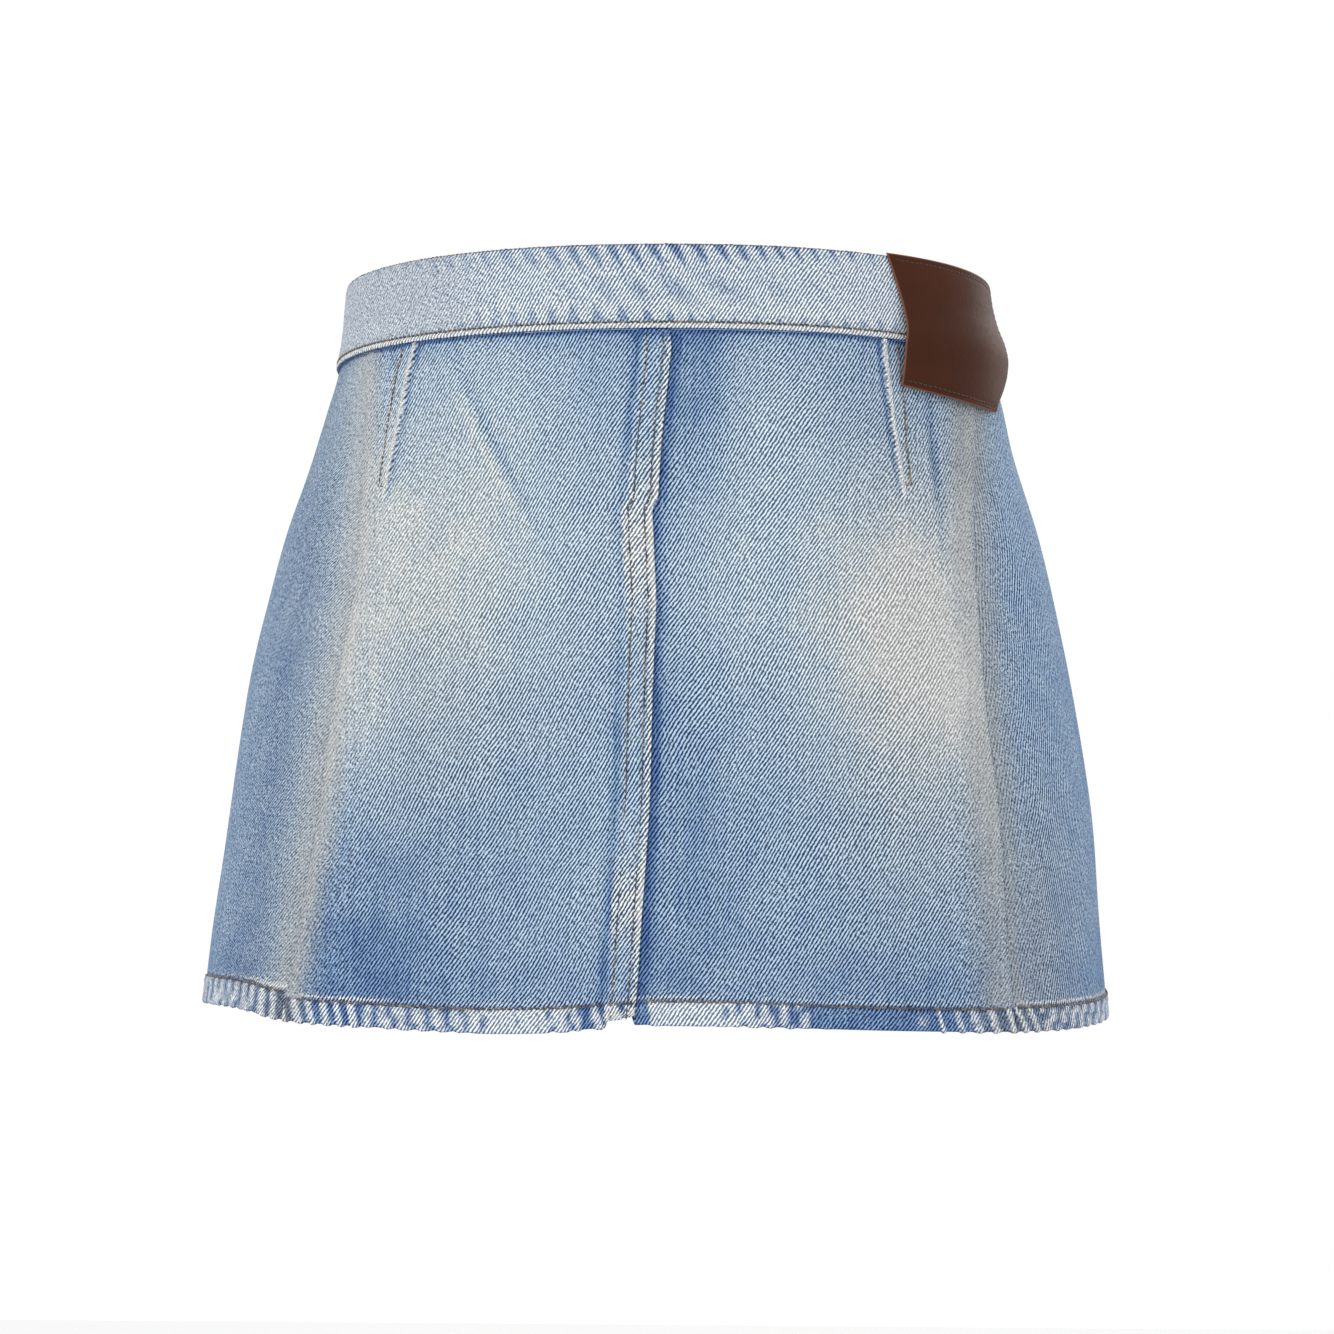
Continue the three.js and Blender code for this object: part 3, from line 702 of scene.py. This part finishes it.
        # The lap's edge is rubbed pale only below the band; right under the band it stays unrubbed and dark,
        # together with the painted shade there.
        rim = (1 - ease(fromEdge, 1.2, 3.0)) * ease(down, 40, 44)
        marks["strip"] = strip
        marks["edges"] = [fromEdge]
        marks["skin"] = skin + (0.12 * rope - 0.28 * sewn) * ease(fromEdge, 0, 1)
        marks["worn"] = worn + strip * np.clip(cream, 0, 1) * (0.62 + 0.12 * rope) + 0.5 * rim
        marks["tone"] = tone - 0.28 * bell(fromEdge - 15.0, 2.6) * (1 - 0.6 * bell(down - 150, 40))
        # Painted shade: the strip's top, right under the band, is darkened.
        marks["tone"] = marks["tone"] + strip * (0.05 + 0.08 * rope) - 0.3 * bell(down - 38, 4.0) * strip
        marks["lift"] = skirt["hemNotch"] * (1 - ease(fromEdge, 10.6, 12.8)) * ease(down, 324, 330)
    else:
        marks["lift"] = (skirt["hemNotch"] + 0.5) * (1 - ease(fromEdge, -1.4, 0.2)) * ease(down, 322, 330)
        marks["edges"] = [fromEdge + skirt["lapCover"]]
        # Darker right beside the lap's edge and a little over a wider reach: painted shade of the edge together
        # with the less rubbed indigo there.
        marks["tone"] = tone - 0.4 * bell(fromEdge - 0.5, 4.0) - 0.1 * bell(fromEdge, 14)
    return panelShell(name, angles, down, marks, 0.0, hemRows["back"])


backLeft = backPanel("back_left_cloth", 1)
backRight = backPanel("back_right_cloth", -1)
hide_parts("back_left")
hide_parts("back_right")
print("back panels made")

# The fly's curved seam: straight down beside the edge, then round to the edge at the fly's end.
fly = {"width": 33.0, "bend": 46.0, "end": 154.0, "nearRow": 3.6, "inset": 4.5}


# How far the curved row lies from the fly's edge at each depth.
def flyLine(down):
    t = np.clip((down - (fly["end"] - fly["bend"])) / fly["bend"], 0, 1)
    return fly["nearRow"] + (fly["width"] - fly["nearRow"]) * np.sqrt(np.clip(1 - t * t, 0, 1))


# A front panel: the fly's lap (+1) or the side below it (-1), out to the side seam.
def frontPanel(name, sense):
    rows = panelRows(2.2)
    centre = np.full_like(rows, 180.0 * sense)
    scale0 = perDegree(centre, rows)
    edge = centre - skirt["frontEdge"] / scale0
    seam = seamLine(rows, sense, 1)
    if sense > 0:
        lapSteps = stepsOf((0, 0.9, 0.15), (0.9, 16, 0.6), (16, 46, 1.6))
    else:
        cover = -skirt["lapCover"]
        lapSteps = stepsOf((cover, cover + 1, 0.25), (cover + 1, 6, 0.9))
    lap = fromLine(edge, lapSteps, rows, -sense)
    rest = seam[:, None] + fromLine(seam * 0, stepsOf((0, 0.8, 0.2), (0.8, 9, 0.8)), rows, sense)[:, ::-1]
    middle = acrossLines(lap[:, -1], rest[:, 0], np.linspace(0, 1, 96)[1:-1])
    angles = np.concatenate([lap, middle, rest], axis=1)
    down = np.broadcast_to(rows[:, None], angles.shape).copy()
    fromEdge = (edge[:, None] - angles) * sense * scale0[:, None]
    fromSeam = (angles - seam[:, None]) * sense * perDegree(seam, rows)[:, None]
    across = place(angles, down)[..., 0]

    tone = washTone(frontWash, across, down, 0.36)
    if sense > 0:
        nearSeam = 0.74 - 0.2 * ease(down, 120, 300)
        soft = 0.95 - 0.75 * ease(fromSeam, 30, 100)
        warm = np.maximum(0.58 * bell(fromSeam, 16.0), 0.26 * bell(fromSeam, 60.0))
    else:
        nearSeam = 0.44 - 0.06 * ease(down, 120, 300)
        soft = 0.9 - 0.7 * ease(fromSeam, 10, 30)
        warm = np.maximum(0.6 * bell(fromSeam, 12.0), 0.4 * bell(fromSeam, 50.0) * ease(down, 180, 290))
    edgeShare = bell(fromSeam, 16.0)
    tone = tone - (0.1 if sense > 0 else 0.02) * bell(fromSeam - 34, 26) * ease(down, 60, 120)
    # Painted shade: darker out towards the panel's far side, where it turns away from the back.
    tone = tone - (0.05 if sense > 0 else 0.13) * bell(fromSeam - 92, 34) * ease(down, 70, 120)
    tone = tone * (1 - edgeShare) + nearSeam * edgeShare
    # Painted shadow: a dark line with a softer shade below it, right under the band.
    tone = tone - 0.7 * bell(down - 38.4, 1.2) - 0.08 * bell(down - 41, 5)
    skin = -0.4 * bell(fromSeam - 0.5, 3.0)
    marks = {"skin": skin, "tone": tone, "worn": 0 * down, "warm": warm, "soft": soft}
    marks.update(edges=[], seams=[fromSeam])
    if sense > 0:
        strip = 1 - ease(fromEdge, skirt["lapWidth"], skirt["lapWidth"] + skirt["lapSlope"])
        onSeam = ease(down, fly["end"], fly["end"] + 6)
        rope = lapRope(down, fromEdge, 8.0, 1.7)
        fromFly = fromEdge - flyLine(down)
        curve = (bell(fromFly, 0.8) + 0.8 * bell(fromFly + fly["inset"], 0.8)) * (1 - onSeam)
        straight = bell(fromEdge - skirt["nearRow"], 0.7) + bell(fromEdge - skirt["farRow"], 0.7) * onSeam
        marks["strip"] = strip
        marks["edges"] = [fromEdge]
        marks["skin"] = skin + (0.14 * rope - 0.26 * straight - 0.24 * curve) * ease(fromEdge, 0, 1)
        marks["worn"] = strip * 0.25 * (1 + rope) + 0.5 * (1 - ease(fromEdge, 1.2, 3.0)) + 0.2 * curve
        marks["tone"] = tone - 0.22 * bell(fromEdge - 15.0, 2.6) * onSeam + 0.06 * strip * rope
        marks["lift"] = 2.0 * (1 - ease(fromEdge, 8.5, 12.5)) * ease(down, 325, 330)
        rolled = bell(330 - down - hemRows["frontLeft"] - 2.4, 2.2) * bell(fromSeam, 34)
        marks["worn"] = marks["worn"] + 0.55 * rolled
    else:
        marks["edges"] = [fromEdge + skirt["lapCover"]]
        # Darker right beside the lap's edge: painted shade of the edge together with the less rubbed indigo
        # there.
        marks["tone"] = tone - 0.36 * bell(fromEdge - 0.5, 4.0)
    row = hemRows["frontLeft"] if sense > 0 else hemRows["frontRight"]
    return panelShell(name, angles, down, marks, 180.0 * sense, row)


frontLeft = frontPanel("front_left_cloth", 1)
frontRight = frontPanel("front_right_cloth", -1)
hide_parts("front_left")
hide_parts("front_right")
print("front panels made")


# The waistband: a straight double band whose free end laps over the other at the centre front.
def bandShell():
    h = skirt["bandHeight"]
    rows = stepsOf((0, 1.5, 0.25), (1.5, 5, 0.7), (5, 30, 1.3), (30, 36.4, 0.64), (36.4, h, 0.2))
    scale = float(perDegree(np.array(180.0), np.array(h / 2)))
    start = 180 - skirt["underEnd"] / scale - 360
    lapStart = 180 - (skirt["underEnd"] + 6) / scale
    end = 180 - skirt["frontEdge"] / scale
    first = np.linspace(start, start + 0.9, 7)[:-1]
    last = np.concatenate([np.linspace(lapStart, end - 0.7, 26)[:-1], np.linspace(end - 0.7, end, 6)])
    columns = np.concatenate([first, np.linspace(start + 0.9, lapStart, 600)[:-1], last])
    angles = np.broadcast_to(columns[None, :], (len(rows), len(columns))).copy()
    down = np.broadcast_to(rows[:, None], angles.shape).copy()
    toEnd = (end - angles) * scale
    fromStart = (angles - start) * scale
    uv = clothUv(angles, down, 0.0)
    u = uv[..., 0]
    lapEnd = skirt["underEnd"] - skirt["frontEdge"]
    over = (skirt["bandCloth"] + skirt["gap"]) * (1 - ease(toEnd, lapEnd + 0.5, lapEnd + 6))
    half = skirt["bandCloth"] / 2
    free = roundEdge(down, half) * roundEdge(h - down, half)
    thick = free * roundEdge(toEnd, half) * roundEdge(fromStart, half)
    topRope = roping(u, -down * 0.9, 9.2, 2.0)
    lowRope = roping(u, (h - down) * 0.3, 9.6, 3.4)
    midRope = roping(u, (h - down) * 1.5, 19.0, 5.1)
    skin = 0.3 * bell(down - 36.4, 0.9) - 0.34 * bell(down - skirt["bandRow"], 0.7) - 0.22 * bell(down - 1.3, 0.7)
    skin = skin + 0.14 * topRope * bell(down - 4, 4.5) + 0.14 * lowRope * bell(down - 30, 4.5)
    skin = skin + 0.1 * midRope * bell(down - 18, 9.0) - 0.2 * bell(down - 26.5, 2.5)
    relief = 0.25 * handRelief(u, down) + 0.3 * np.sin(u / 41.0) * np.sin(np.pi * down / h)
    outer = place(angles, down, over + half * thick + relief + skin * free)
    inner = place(angles, down, over - half * thick + relief)
    # Bleached band: white wales, with blue left in the puckers along both edges, in blots that narrow
    # away from the edge, and faintly in the hollow between them.
    shown = 0.25 + 0.75 * bell(u + 30, 110)
    fromStitch = skirt["bandRow"] - down
    blueTop = ease(topRope + 0.4 * np.sin(u / 47.0 + 1.0) - 0.13 * down, -0.35, 0.25) * shown
    blueLow = ease(lowRope + 0.5 * np.sin(u / 31.0) - 0.15 * fromStitch, -0.2, 0.4)
    blueLow = blueLow * ease(fromStitch, 0, 0.6) * shown
    blueMiddle = (0.5 + 0.5 * midRope) * bell(down - 20, 8.0) * (0.12 + 0.88 * bell(u + 10, 50))
    blot = np.maximum(np.maximum(blueTop, 0.9 * blueLow), 0.62 * blueMiddle)
    plain = ease(u, 62, 110)
    welt = ease(down, 35.0, 35.5) * (1 - ease(down, 37.2, 37.7))
    # Painted shade: the band's lower rim (under) is darkened, and fewer white wales lie in the groove of its
    # lower stitched row (groove).
    under = ease(down, 37.2, 37.7)
    groove = bell(fromStitch, 0.55)
    top = bell(down, 0.6)
    crisp = (1 - 0.9 * blot) * (1 - 0.22 * plain) * (0.88 + 0.12 * bell(down - 28, 4))
    crisp = crisp * (1 - 0.6 * groove) * (1 - under) * (1 - 0.7 * top)
    tone = 0.34 - 0.24 * blot - 0.34 * under - 0.2 * top
    worn = 0.8 * welt + 0.16 * bell(down - 29, 4.0) * (1 - blot)
    soft = (1.1 * plain + 0.1 * bell(down - 18, 8)) * (1 - welt)
    warm = 0.05 + 0.2 * plain
    values = {"tone": tone, "worn": worn, "warm": warm, "soft": soft, "crisp": crisp}
    mesh = wallMesh("waistband_cloth", outer, inner, uv, values, thick)
    piece = newObject("waistband_cloth", mesh, denimCloth)
    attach(piece, "root")
    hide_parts("waistband")
    return piece


band = bandShell()
print("waistband made")


# Fly shield: a plain strip behind the lap, with a rounded lower corner.
def shieldShell():
    top = skirt["bandHeight"] + skirt["gap"]
    rows = stepsOf((top, top + 1, 0.25), (top + 1, top + skirt["shieldLength"] - 1, 3.0),
                   (top + skirt["shieldLength"] - 1, top + skirt["shieldLength"], 0.25))
    steps = stepsOf((-12, -11, 0.25), (-11, 25, 1.6), (25, 26, 0.25))
    scale = perDegree(np.full_like(rows, 180.0), rows)
    angles = 180 - steps[None, :] / scale[:, None]
    down = np.broadcast_to(rows[:, None], angles.shape).copy()
    side = np.broadcast_to(steps[None, :], angles.shape)
    corner = np.clip((side + 2) / 28, 0, 1) ** 2 * 15
    share = (down - top) / skirt["shieldLength"]
    down = down - corner * share ** 3
    half = skirt["cloth"] / 2
    middle = -skirt["cloth"] - skirt["gap"] - half
    thick = roundEdge(side + 12, half) * roundEdge(26 - side, half) * roundEdge((1 - share) * 122, half)
    outer = place(angles, down, middle + half * thick)
    inner = place(angles, down, middle - half * thick)
    uv = np.stack([side, down], -1)
    even = 0 * down
    worn = 0.4 * bell(26 - side, 1.5)
    values = {"tone": even + 0.35, "worn": worn, "warm": even, "soft": even + 0.2, "crisp": even}
    mesh = wallMesh("fly_shield_cloth", outer, inner, uv, values, thick)
    piece = newObject("fly_shield_cloth", mesh, denimCloth)
    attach(piece, "root")
    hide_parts("fly_shield")
    return piece


shield = shieldShell()

# Leather patch: sewn along the waist edge over the wearer's right hip, loose and bowed below.
patch = {
    "top": -1.0,
    "fall": 58.0,
    "turn": 4.6,
    "leather": 1.5,
    "width": 84.0,
}
patchShape = {
    "down": [-1, 9, 18, 26, 33, 40, 48, 56, 63],
    "near": [-53.9, -55, -55.8, -56, -55.8, -55, -54.2, -53.2, -52.4],
    "far": [-88, -88.4, -88.5, -88.2, -87.8, -86, -82, -77.6, -74.8],
    "nearOff": [1.8, 1.9, 2.2, 3.2, 4.2, 4.3, 3.3, 2.4, 2],
    "farOff": [1.8, 2.1, 3.4, 5.6, 6.3, 5.2, 3.7, 2.8, 2.3],
}


# A point of the patch by share from the near to the far edge (0 to 1) and from top to bottom.
def patchAt(share, fallShare):
    fall = patch["fall"] + patch["turn"] * np.sin(np.radians(90 * share))
    down = patch["top"] + (fall - patch["top"]) * fallShare
    shape = {key: readSmooth(patchShape, "down", key, down) for key in ("near", "far", "nearOff", "farOff")}
    angle = shape["near"] + (shape["far"] - shape["near"]) * share
    stand = shape["nearOff"] + (shape["farOff"] - shape["nearOff"]) * share ** 2
    return angle, down, stand


# The patch's low waves, which begin below its sewn top.
def patchWave(share, down):
    return 0.3 * np.sin(share * 7 + down / 15) * ease(down, 5, 30)


def patchShell():
    rows = stepsOf((0, 0.02, 0.004), (0.02, 0.98, 0.022), (0.98, 1, 0.004))
    share, fallShare = np.meshgrid(stepsOf((0, 0.018, 0.003), (0.018, 0.982, 0.018), (0.982, 1, 0.003)), rows)
    angles, down, stand = patchAt(share, fallShare)
    half = patch["leather"] / 2
    fromSide = np.minimum(share, 1 - share) * patch["width"]
    near = np.minimum(fromSide, np.minimum(fallShare, 1 - fallShare) * 60)
    thick = 0.3 + 0.7 * roundEdge(near, 0.9)
    press = 0.2 * bell(near - 2.6, 0.7)
    wave = patchWave(share, down)
    outer = place(angles, down, stand + half + half * thick + wave - press)
    inner = place(angles, down, stand + half - half * thick + wave)
    cut = 1 - ease(near, 0.2, 0.75)
    uv = np.stack([share * patch["width"], down], -1)
    mesh = wallMesh("leather_patch_skin", outer, inner, uv, {"cut": cut}, thick)
    piece = newObject("leather_patch_skin", mesh, leatherLook)
    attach(piece, "root")
    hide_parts("leather_patch")
    return piece


patchPiece = patchShell()
print("patch made")

# Stitches: one row of separate lockstitches, each a short bowed capsule that dips in at both ends.
stitch = {"length": 2.7, "space": 0.3, "radius": 0.36, "rings": 6, "sides": 6, "bury": 0.16}


def stitchRow(name, angle, down, off, length=stitch["length"], radius=stitch["radius"], shade=0.5):
    path = place(angle, down, off)
    out = place(angle, down, np.asarray(off) + 1) - path
    run = np.concatenate([[0], np.cumsum(np.linalg.norm(np.diff(path, axis=0), axis=1))])
    count = int(run[-1] / (length + stitch["space"]))
    pitch = run[-1] / count
    k = np.linspace(0, 1, stitch["rings"])
    begin = (np.arange(count) + 0.5) * pitch - (pitch - stitch["space"]) / 2
    at = begin[:, None] + k[None, :] * (pitch - stitch["space"])
    centre = np.stack([np.interp(at, run, path[:, c]) for c in range(3)], -1)
    normal = np.stack([np.interp(at, run, out[:, c]) for c in range(3)], -1)
    normal /= np.linalg.norm(normal, axis=-1, keepdims=True)
    forward = np.gradient(centre, axis=1)
    forward /= np.linalg.norm(forward, axis=-1, keepdims=True)
    side = np.cross(forward, normal)
    bow = np.sin(np.pi * k)
    centre = centre + normal * (radius * 0.7 - stitch["bury"] * (1 - bow) ** 2 * 1.6)[None, :, None]
    centre = centre + side * (rng.normal(0, 0.07, (count, 1, 1)) + 0.14 * (2 * k - 1)[None, :, None])
    girth = radius * np.sqrt(np.clip(1 - (2 * k - 1) ** 6, 0.03, 1))
    turn = np.arange(stitch["sides"]) * 2 * np.pi / stitch["sides"]
    ring = (side[:, :, None, :] * np.cos(turn)[None, None, :, None]
            + normal[:, :, None, :] * np.sin(turn)[None, None, :, None])
    points = centre[:, :, None, :] + ring * girth[None, :, None, None]
    rings, sides = stitch["rings"], stitch["sides"]
    index = np.arange(rings * sides).reshape(rings, sides)
    around = np.roll(index, -1, axis=1)
    tube = np.stack([index[:-1], around[:-1], around[1:], index[1:]], -1).reshape(-1, 4)
    startCap = np.array([[0, 3, 2, 1], [0, 5, 4, 3]])
    endCap = np.array([[0, 1, 2, 3], [0, 3, 4, 5]]) + (rings - 1) * sides
    one = np.concatenate([tube, startCap, endCap])
    quads = (one[None] + np.arange(count)[:, None, None] * rings * sides).reshape(-1, 4)
    uv = np.stack(np.broadcast_arrays(at[:, :, None], turn[None, None, :] * radius), -1).reshape(-1, 2)
    faded = np.repeat(np.clip(rng.normal(shade, 0.3 * shade, count), 0, 1), rings * sides)
    mesh = fillMesh(name, points.reshape(-1, 3), quads, uv, {"shade": faded})
    piece = newObject(name, mesh, threadLook)
    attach(piece, "root")
    return piece


# A row on the hem between two angles, at the panel's own row height; `rise` lifts it over a lap.
def hemStitches(name, angles, row, rise):
    down = skirt["sideLength"] - row + 0 * angles
    stitchRow(name, angles, down, rise + skirt["hemOut"] * 0.6 - 0.24, radius=0.48, shade=0.34)


def sewEverything():
    h = skirt["bandHeight"]
    hem = skirt["sideLength"] - 10
    lift = skirt["cloth"] + skirt["gap"]
    bandScale = float(perDegree(np.array(180.0), np.array(h / 2)))
    ring = np.linspace(-178.0, 180 - skirt["frontEdge"] / bandScale - 1.2, 1500)
    over = (skirt["bandCloth"] + skirt["gap"]) * ease(ring, 180 - 30 / bandScale, 180 - 25 / bandScale)
    face = skirt["bandCloth"] / 2
    low = skirt["bandRow"] + 0 * ring
    stitchRow("stitch_band_low", ring, low, over + face - 0.32, length=2.2, radius=0.46, shade=0.36)
    top = 0.35 + 0 * ring
    stitchRow("stitch_band_top", ring, top, over + face - 0.85, length=1.9, radius=0.34, shade=0.4)
    hemScale = float(perDegree(np.array(0.0), np.array(hem)))
    for sense, label in ((1, "left"), (-1, "right")):
        seam = sense * float(seamLine(np.array(hem), sense, 0))
        first = 2.4 / hemScale if sense > 0 else 0.6
        back = sense * np.linspace(first, seam - 0.5, 400)
        onLap = 1 - ease(np.abs(back) * hemScale, 13, 17) if sense > 0 else 0
        hemStitches(f"stitch_hem_back_{label}", back, hemRows["back"], (lift + skirt["hemOut"]) * onLap)
        front = sense * np.linspace(seam + 0.5, 179.5 if sense < 0 else 181.5, 600)
        rest = (180 - np.abs(front)) * hemScale + 6
        onLap = 1 - ease(rest, 12, 16) if sense > 0 else 0
        row = hemRows["frontLeft"] if sense > 0 else hemRows["frontRight"]
        hemStitches(f"stitch_hem_front_{label}", front, row, (lift + skirt["hemOut"]) * onLap)
        # Beside the dart's fold, and back to it in a short bar above its tip.
        rows = np.concatenate([np.linspace(h + 1.5, 100, 160), np.full(20, 100.4)])
        line = readLine(dartLines[sense], "down", "angle", rows)
        beside = dartRow(rows)
        beside[160:] = np.linspace(beside[159], 1.8, 20)
        fade = 1 - ease(rows, skirt["dartTip"] - skirt["dartFade"], skirt["dartTip"])
        dartAngle = line + sense * beside / perDegree(line, rows)
        raised = skirt["dartRise"] * dartFold(beside) * fade
        stitchRow(f"stitch_dart_{label}", dartAngle, rows, raised - 0.14, length=2.2, radius=0.42, shade=0.46)
    rows = np.linspace(h + 1.5, hem + 7, 700)
    edge = readLine(backLap, "down", "edge", rows)
    swell = 2 * skirt["hemOut"] * (1 - ease(skirt["sideLength"] - rows, 9.5, 10.8))
    for label, beside in (("near", skirt["nearRow"]), ("far", skirt["farRow"])):
        angle = (edge + beside) / perDegree(np.zeros_like(rows), rows)
        stitchRow(f"stitch_back_seam_{label}", angle, rows, lift - 0.34 + swell, radius=0.33, shade=0.3)
    scale = perDegree(np.full_like(rows, 180.0), rows)
    near = 180 - (skirt["frontEdge"] + skirt["nearRow"]) / scale
    stitchRow("stitch_front_seam_near", near, rows, lift - 0.32 + swell, shade=0.45)
    low = rows > fly["end"]
    far = 180 - (skirt["frontEdge"] + skirt["farRow"]) / scale
    stitchRow("stitch_front_seam_far", far[low], rows[low], (lift - 0.32 + swell)[low], shade=0.45)
    for label, inset in (("outer", 0.0), ("inner", fly["inset"])):
        downs = np.linspace(h + 1.5, fly["end"] - 0.4, 900)
        sides = flyLine(downs) - inset
        downs, sides = downs[sides > fly["nearRow"]], sides[sides > fly["nearRow"]]
        angle = 180 - (skirt["frontEdge"] + sides) / perDegree(np.full_like(downs, 180.0), downs)
        onStrip = lift * (1 - ease(sides, skirt["lapWidth"], skirt["lapWidth"] + skirt["lapSlope"]))
        stitchRow(f"stitch_fly_{label}", angle, downs, onStrip - 0.24, shade=0.45)
    # The patch is sewn all round in a thread dyed like the leather.
    run = np.linspace(0, 1, 120)
    inset = 0.035
    share = np.concatenate([
        inset + (1 - 2 * inset) * run,
        np.full(120, 1 - inset)[1:],
        1 - inset - (1 - 2 * inset) * run[1:],
    ])
    fall = np.concatenate([np.full(120, 0.045), 0.045 + 0.91 * run[1:], np.full(120, 0.955)[1:]])
    angle, down, stand = patchAt(share, fall)
    high = stand + patch["leather"] + patchWave(share, down) - 0.3
    stitchRow("stitch_patch", angle, down, high, length=2.4, radius=0.26, shade=0.04)


sewEverything()
print("stitching made")


# Shank button: domed brass cap with a rolled rim on its post, and the tack's disc behind. Each ring
# of the mesh is the profile turned about the axis by one step.
button = {"sides": 72, "centre": 9.0, "down": 19.0, "tarnish": "#6d5233", "gold": "#b08d57"}
buttonProfile = {
    "r": [0.01, 3.4, 4.3, 4.4, 2.2, 2.2, 5.2, 7.4, 8.2, 8.45, 8.5, 8.3, 7.8, 7.2, 6.6, 6.1, 5.6, 4.4, 2.6, 0.01],
    "y": [-3.4, -3.3, -2.7, -1.8, -1.8, 5.3, 5.5, 5.15, 5.4, 5.9,
          6.5, 7.2, 7.7, 7.85, 7.7, 7.45, 7.4, 7.6, 7.85, 7.95],
}


def brassMaterial():
    # Antiqued brass: dull gold on the high places, brown tarnish in the low ones.
    material = newMaterial("antique_brass")
    tree = material.node_tree
    spot = addNode(tree, "ShaderNodeTexCoord", {}, {}).outputs["Object"]
    stain = addNode(tree, "ShaderNodeTexNoise", {}, {"Vector": spot, "Scale": 420.0, "Detail": 6.0})
    stain = stain.outputs["Fac"]
    colour = rampOf(tree, stain, [(0.35, button["tarnish"]), (0.62, button["gold"])])
    gloss = addNode(tree, "ShaderNodeMapRange", {}, {"Value": stain, "To Min": 0.5, "To Max": 0.28})
    sockets = {"Base Color": colour, "Metallic": 1.0, "Roughness": gloss.outputs["Result"]}
    return endMaterial(material, sockets, (0.2, 0.0001, stain))


def shankButton():
    middle = np.array(button["down"])
    angle = 180 - button["centre"] / perDegree(np.array(180.0), middle)
    seat = place(angle, middle)
    along = place(angle + 3, middle) - place(angle - 3, middle)
    downward = place(angle, middle + 8) - place(angle, middle - 8)
    out = np.cross(along, downward)
    out /= np.linalg.norm(out)
    side = np.cross(out, [0, 0, 1.0])
    side /= np.linalg.norm(side)
    up = np.cross(side, out)
    r = np.array(buttonProfile["r"])
    y = np.array(buttonProfile["y"])
    turn = np.arange(button["sides"]) * 2 * np.pi / button["sides"]
    ring = side[None, :] * np.cos(turn)[:, None] + up[None, :] * np.sin(turn)[:, None]
    points = seat + out * y[:, None, None] + ring[None] * r[:, None, None]
    rows, sides = points.shape[:2]
    index = np.arange(rows * sides).reshape(rows, sides)
    around = np.roll(index, -1, axis=1)
    quads = np.stack([index[:-1], around[:-1], around[1:], index[1:]], -1).reshape(-1, 4)
    uv = np.zeros((rows * sides, 2))
    mesh = fillMesh("button_brass", points.reshape(-1, 3), quads, uv, {})
    piece = newObject("button_brass", mesh, brassMaterial())
    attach(piece, "root")
    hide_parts("waist_button")
    return piece


shankButton()
print("button made")

# The photograph's view: level, from behind, the skirt turned a little to its own right.
view = {
    "distance": 2000.0,
    "turn": 3.0,
    "height": -154.5,
    "aside": 1.7,
    "lens": 116.2,
}


def setCamera():
    turn = math.radians(view["turn"])
    forward = np.array([math.sin(turn), -math.cos(turn), 0.0])
    right = np.array([-math.cos(turn), -math.sin(turn), 0.0])
    spot = -forward * view["distance"] + right * view["aside"] + np.array([0, 0, view["height"]])
    camera = bpy.data.objects.new("photo_camera", bpy.data.cameras.new("photo_camera"))
    bpy.context.scene.collection.objects.link(camera)
    camera.data.lens = view["lens"]
    camera.data.sensor_width = 36.0
    camera.location = spot * millimetre
    camera.rotation_euler = (math.radians(90), 0, math.radians(180) + turn)
    camera.data.clip_start = 0.05
    camera.data.clip_end = 50
    bpy.context.scene.camera = camera


# A pale floor well below the hem, a white surround and large soft lamps all round.
studio = {
    "floorDrop": 0.95,
    "floorSize": 6.4,
    "surround": "#ffffff",
    "surroundStrength": 1.0,
    "lamps": [
        # name, azimuth in degrees round from the back view, height, distance, size, watts
        ("key", 38, 1.0, 2.6, 1.4, 13),
        ("far_key", 218, 1.0, 2.6, 1.4, 13),
    ],
}


def lightStudio():
    scene = bpy.context.scene
    world = bpy.data.worlds.new("studio")
    world.use_nodes = True
    scene.world = world
    back = world.node_tree.nodes["Background"]
    back.inputs["Color"].default_value = toLinear(studio["surround"])
    back.inputs["Strength"].default_value = studio["surroundStrength"]
    for name, azimuth, height, distance, size, watts in studio["lamps"]:
        lamp = bpy.data.lights.new(name, "AREA")
        lamp.shape = "DISK"
        lamp.size = size
        lamp.energy = watts
        thing = bpy.data.objects.new(name, lamp)
        scene.collection.objects.link(thing)
        turn = math.radians(azimuth)
        thing.location = (distance * math.sin(turn), distance * math.cos(turn), height)
        aim = np.array([0, 0, -0.15]) - np.array(thing.location)
        yaw = math.atan2(aim[1], aim[0])
        tilt = math.atan2(math.hypot(aim[0], aim[1]), -aim[2])
        thing.rotation_euler = (tilt, 0, yaw - math.pi / 2)
    half = studio["floorSize"] / 2
    mesh = bpy.data.meshes.new("floor")
    corners = [(-half, -half), (half, -half), (half, half), (-half, half)]
    mesh.from_pydata([(x, y, -studio["floorDrop"]) for x, y in corners], [], [(0, 1, 2, 3)])
    floor = newObject("floor", mesh, paleFloor())
    scene.view_settings.view_transform = "Standard"


def paleFloor():
    # Matt white studio board.
    sockets = {"Base Color": toLinear("#f4f4f4"), "Roughness": 0.8}
    return endMaterial(newMaterial("matt_white_board"), sockets)


setCamera()
lightStudio()
print("camera and lights set")
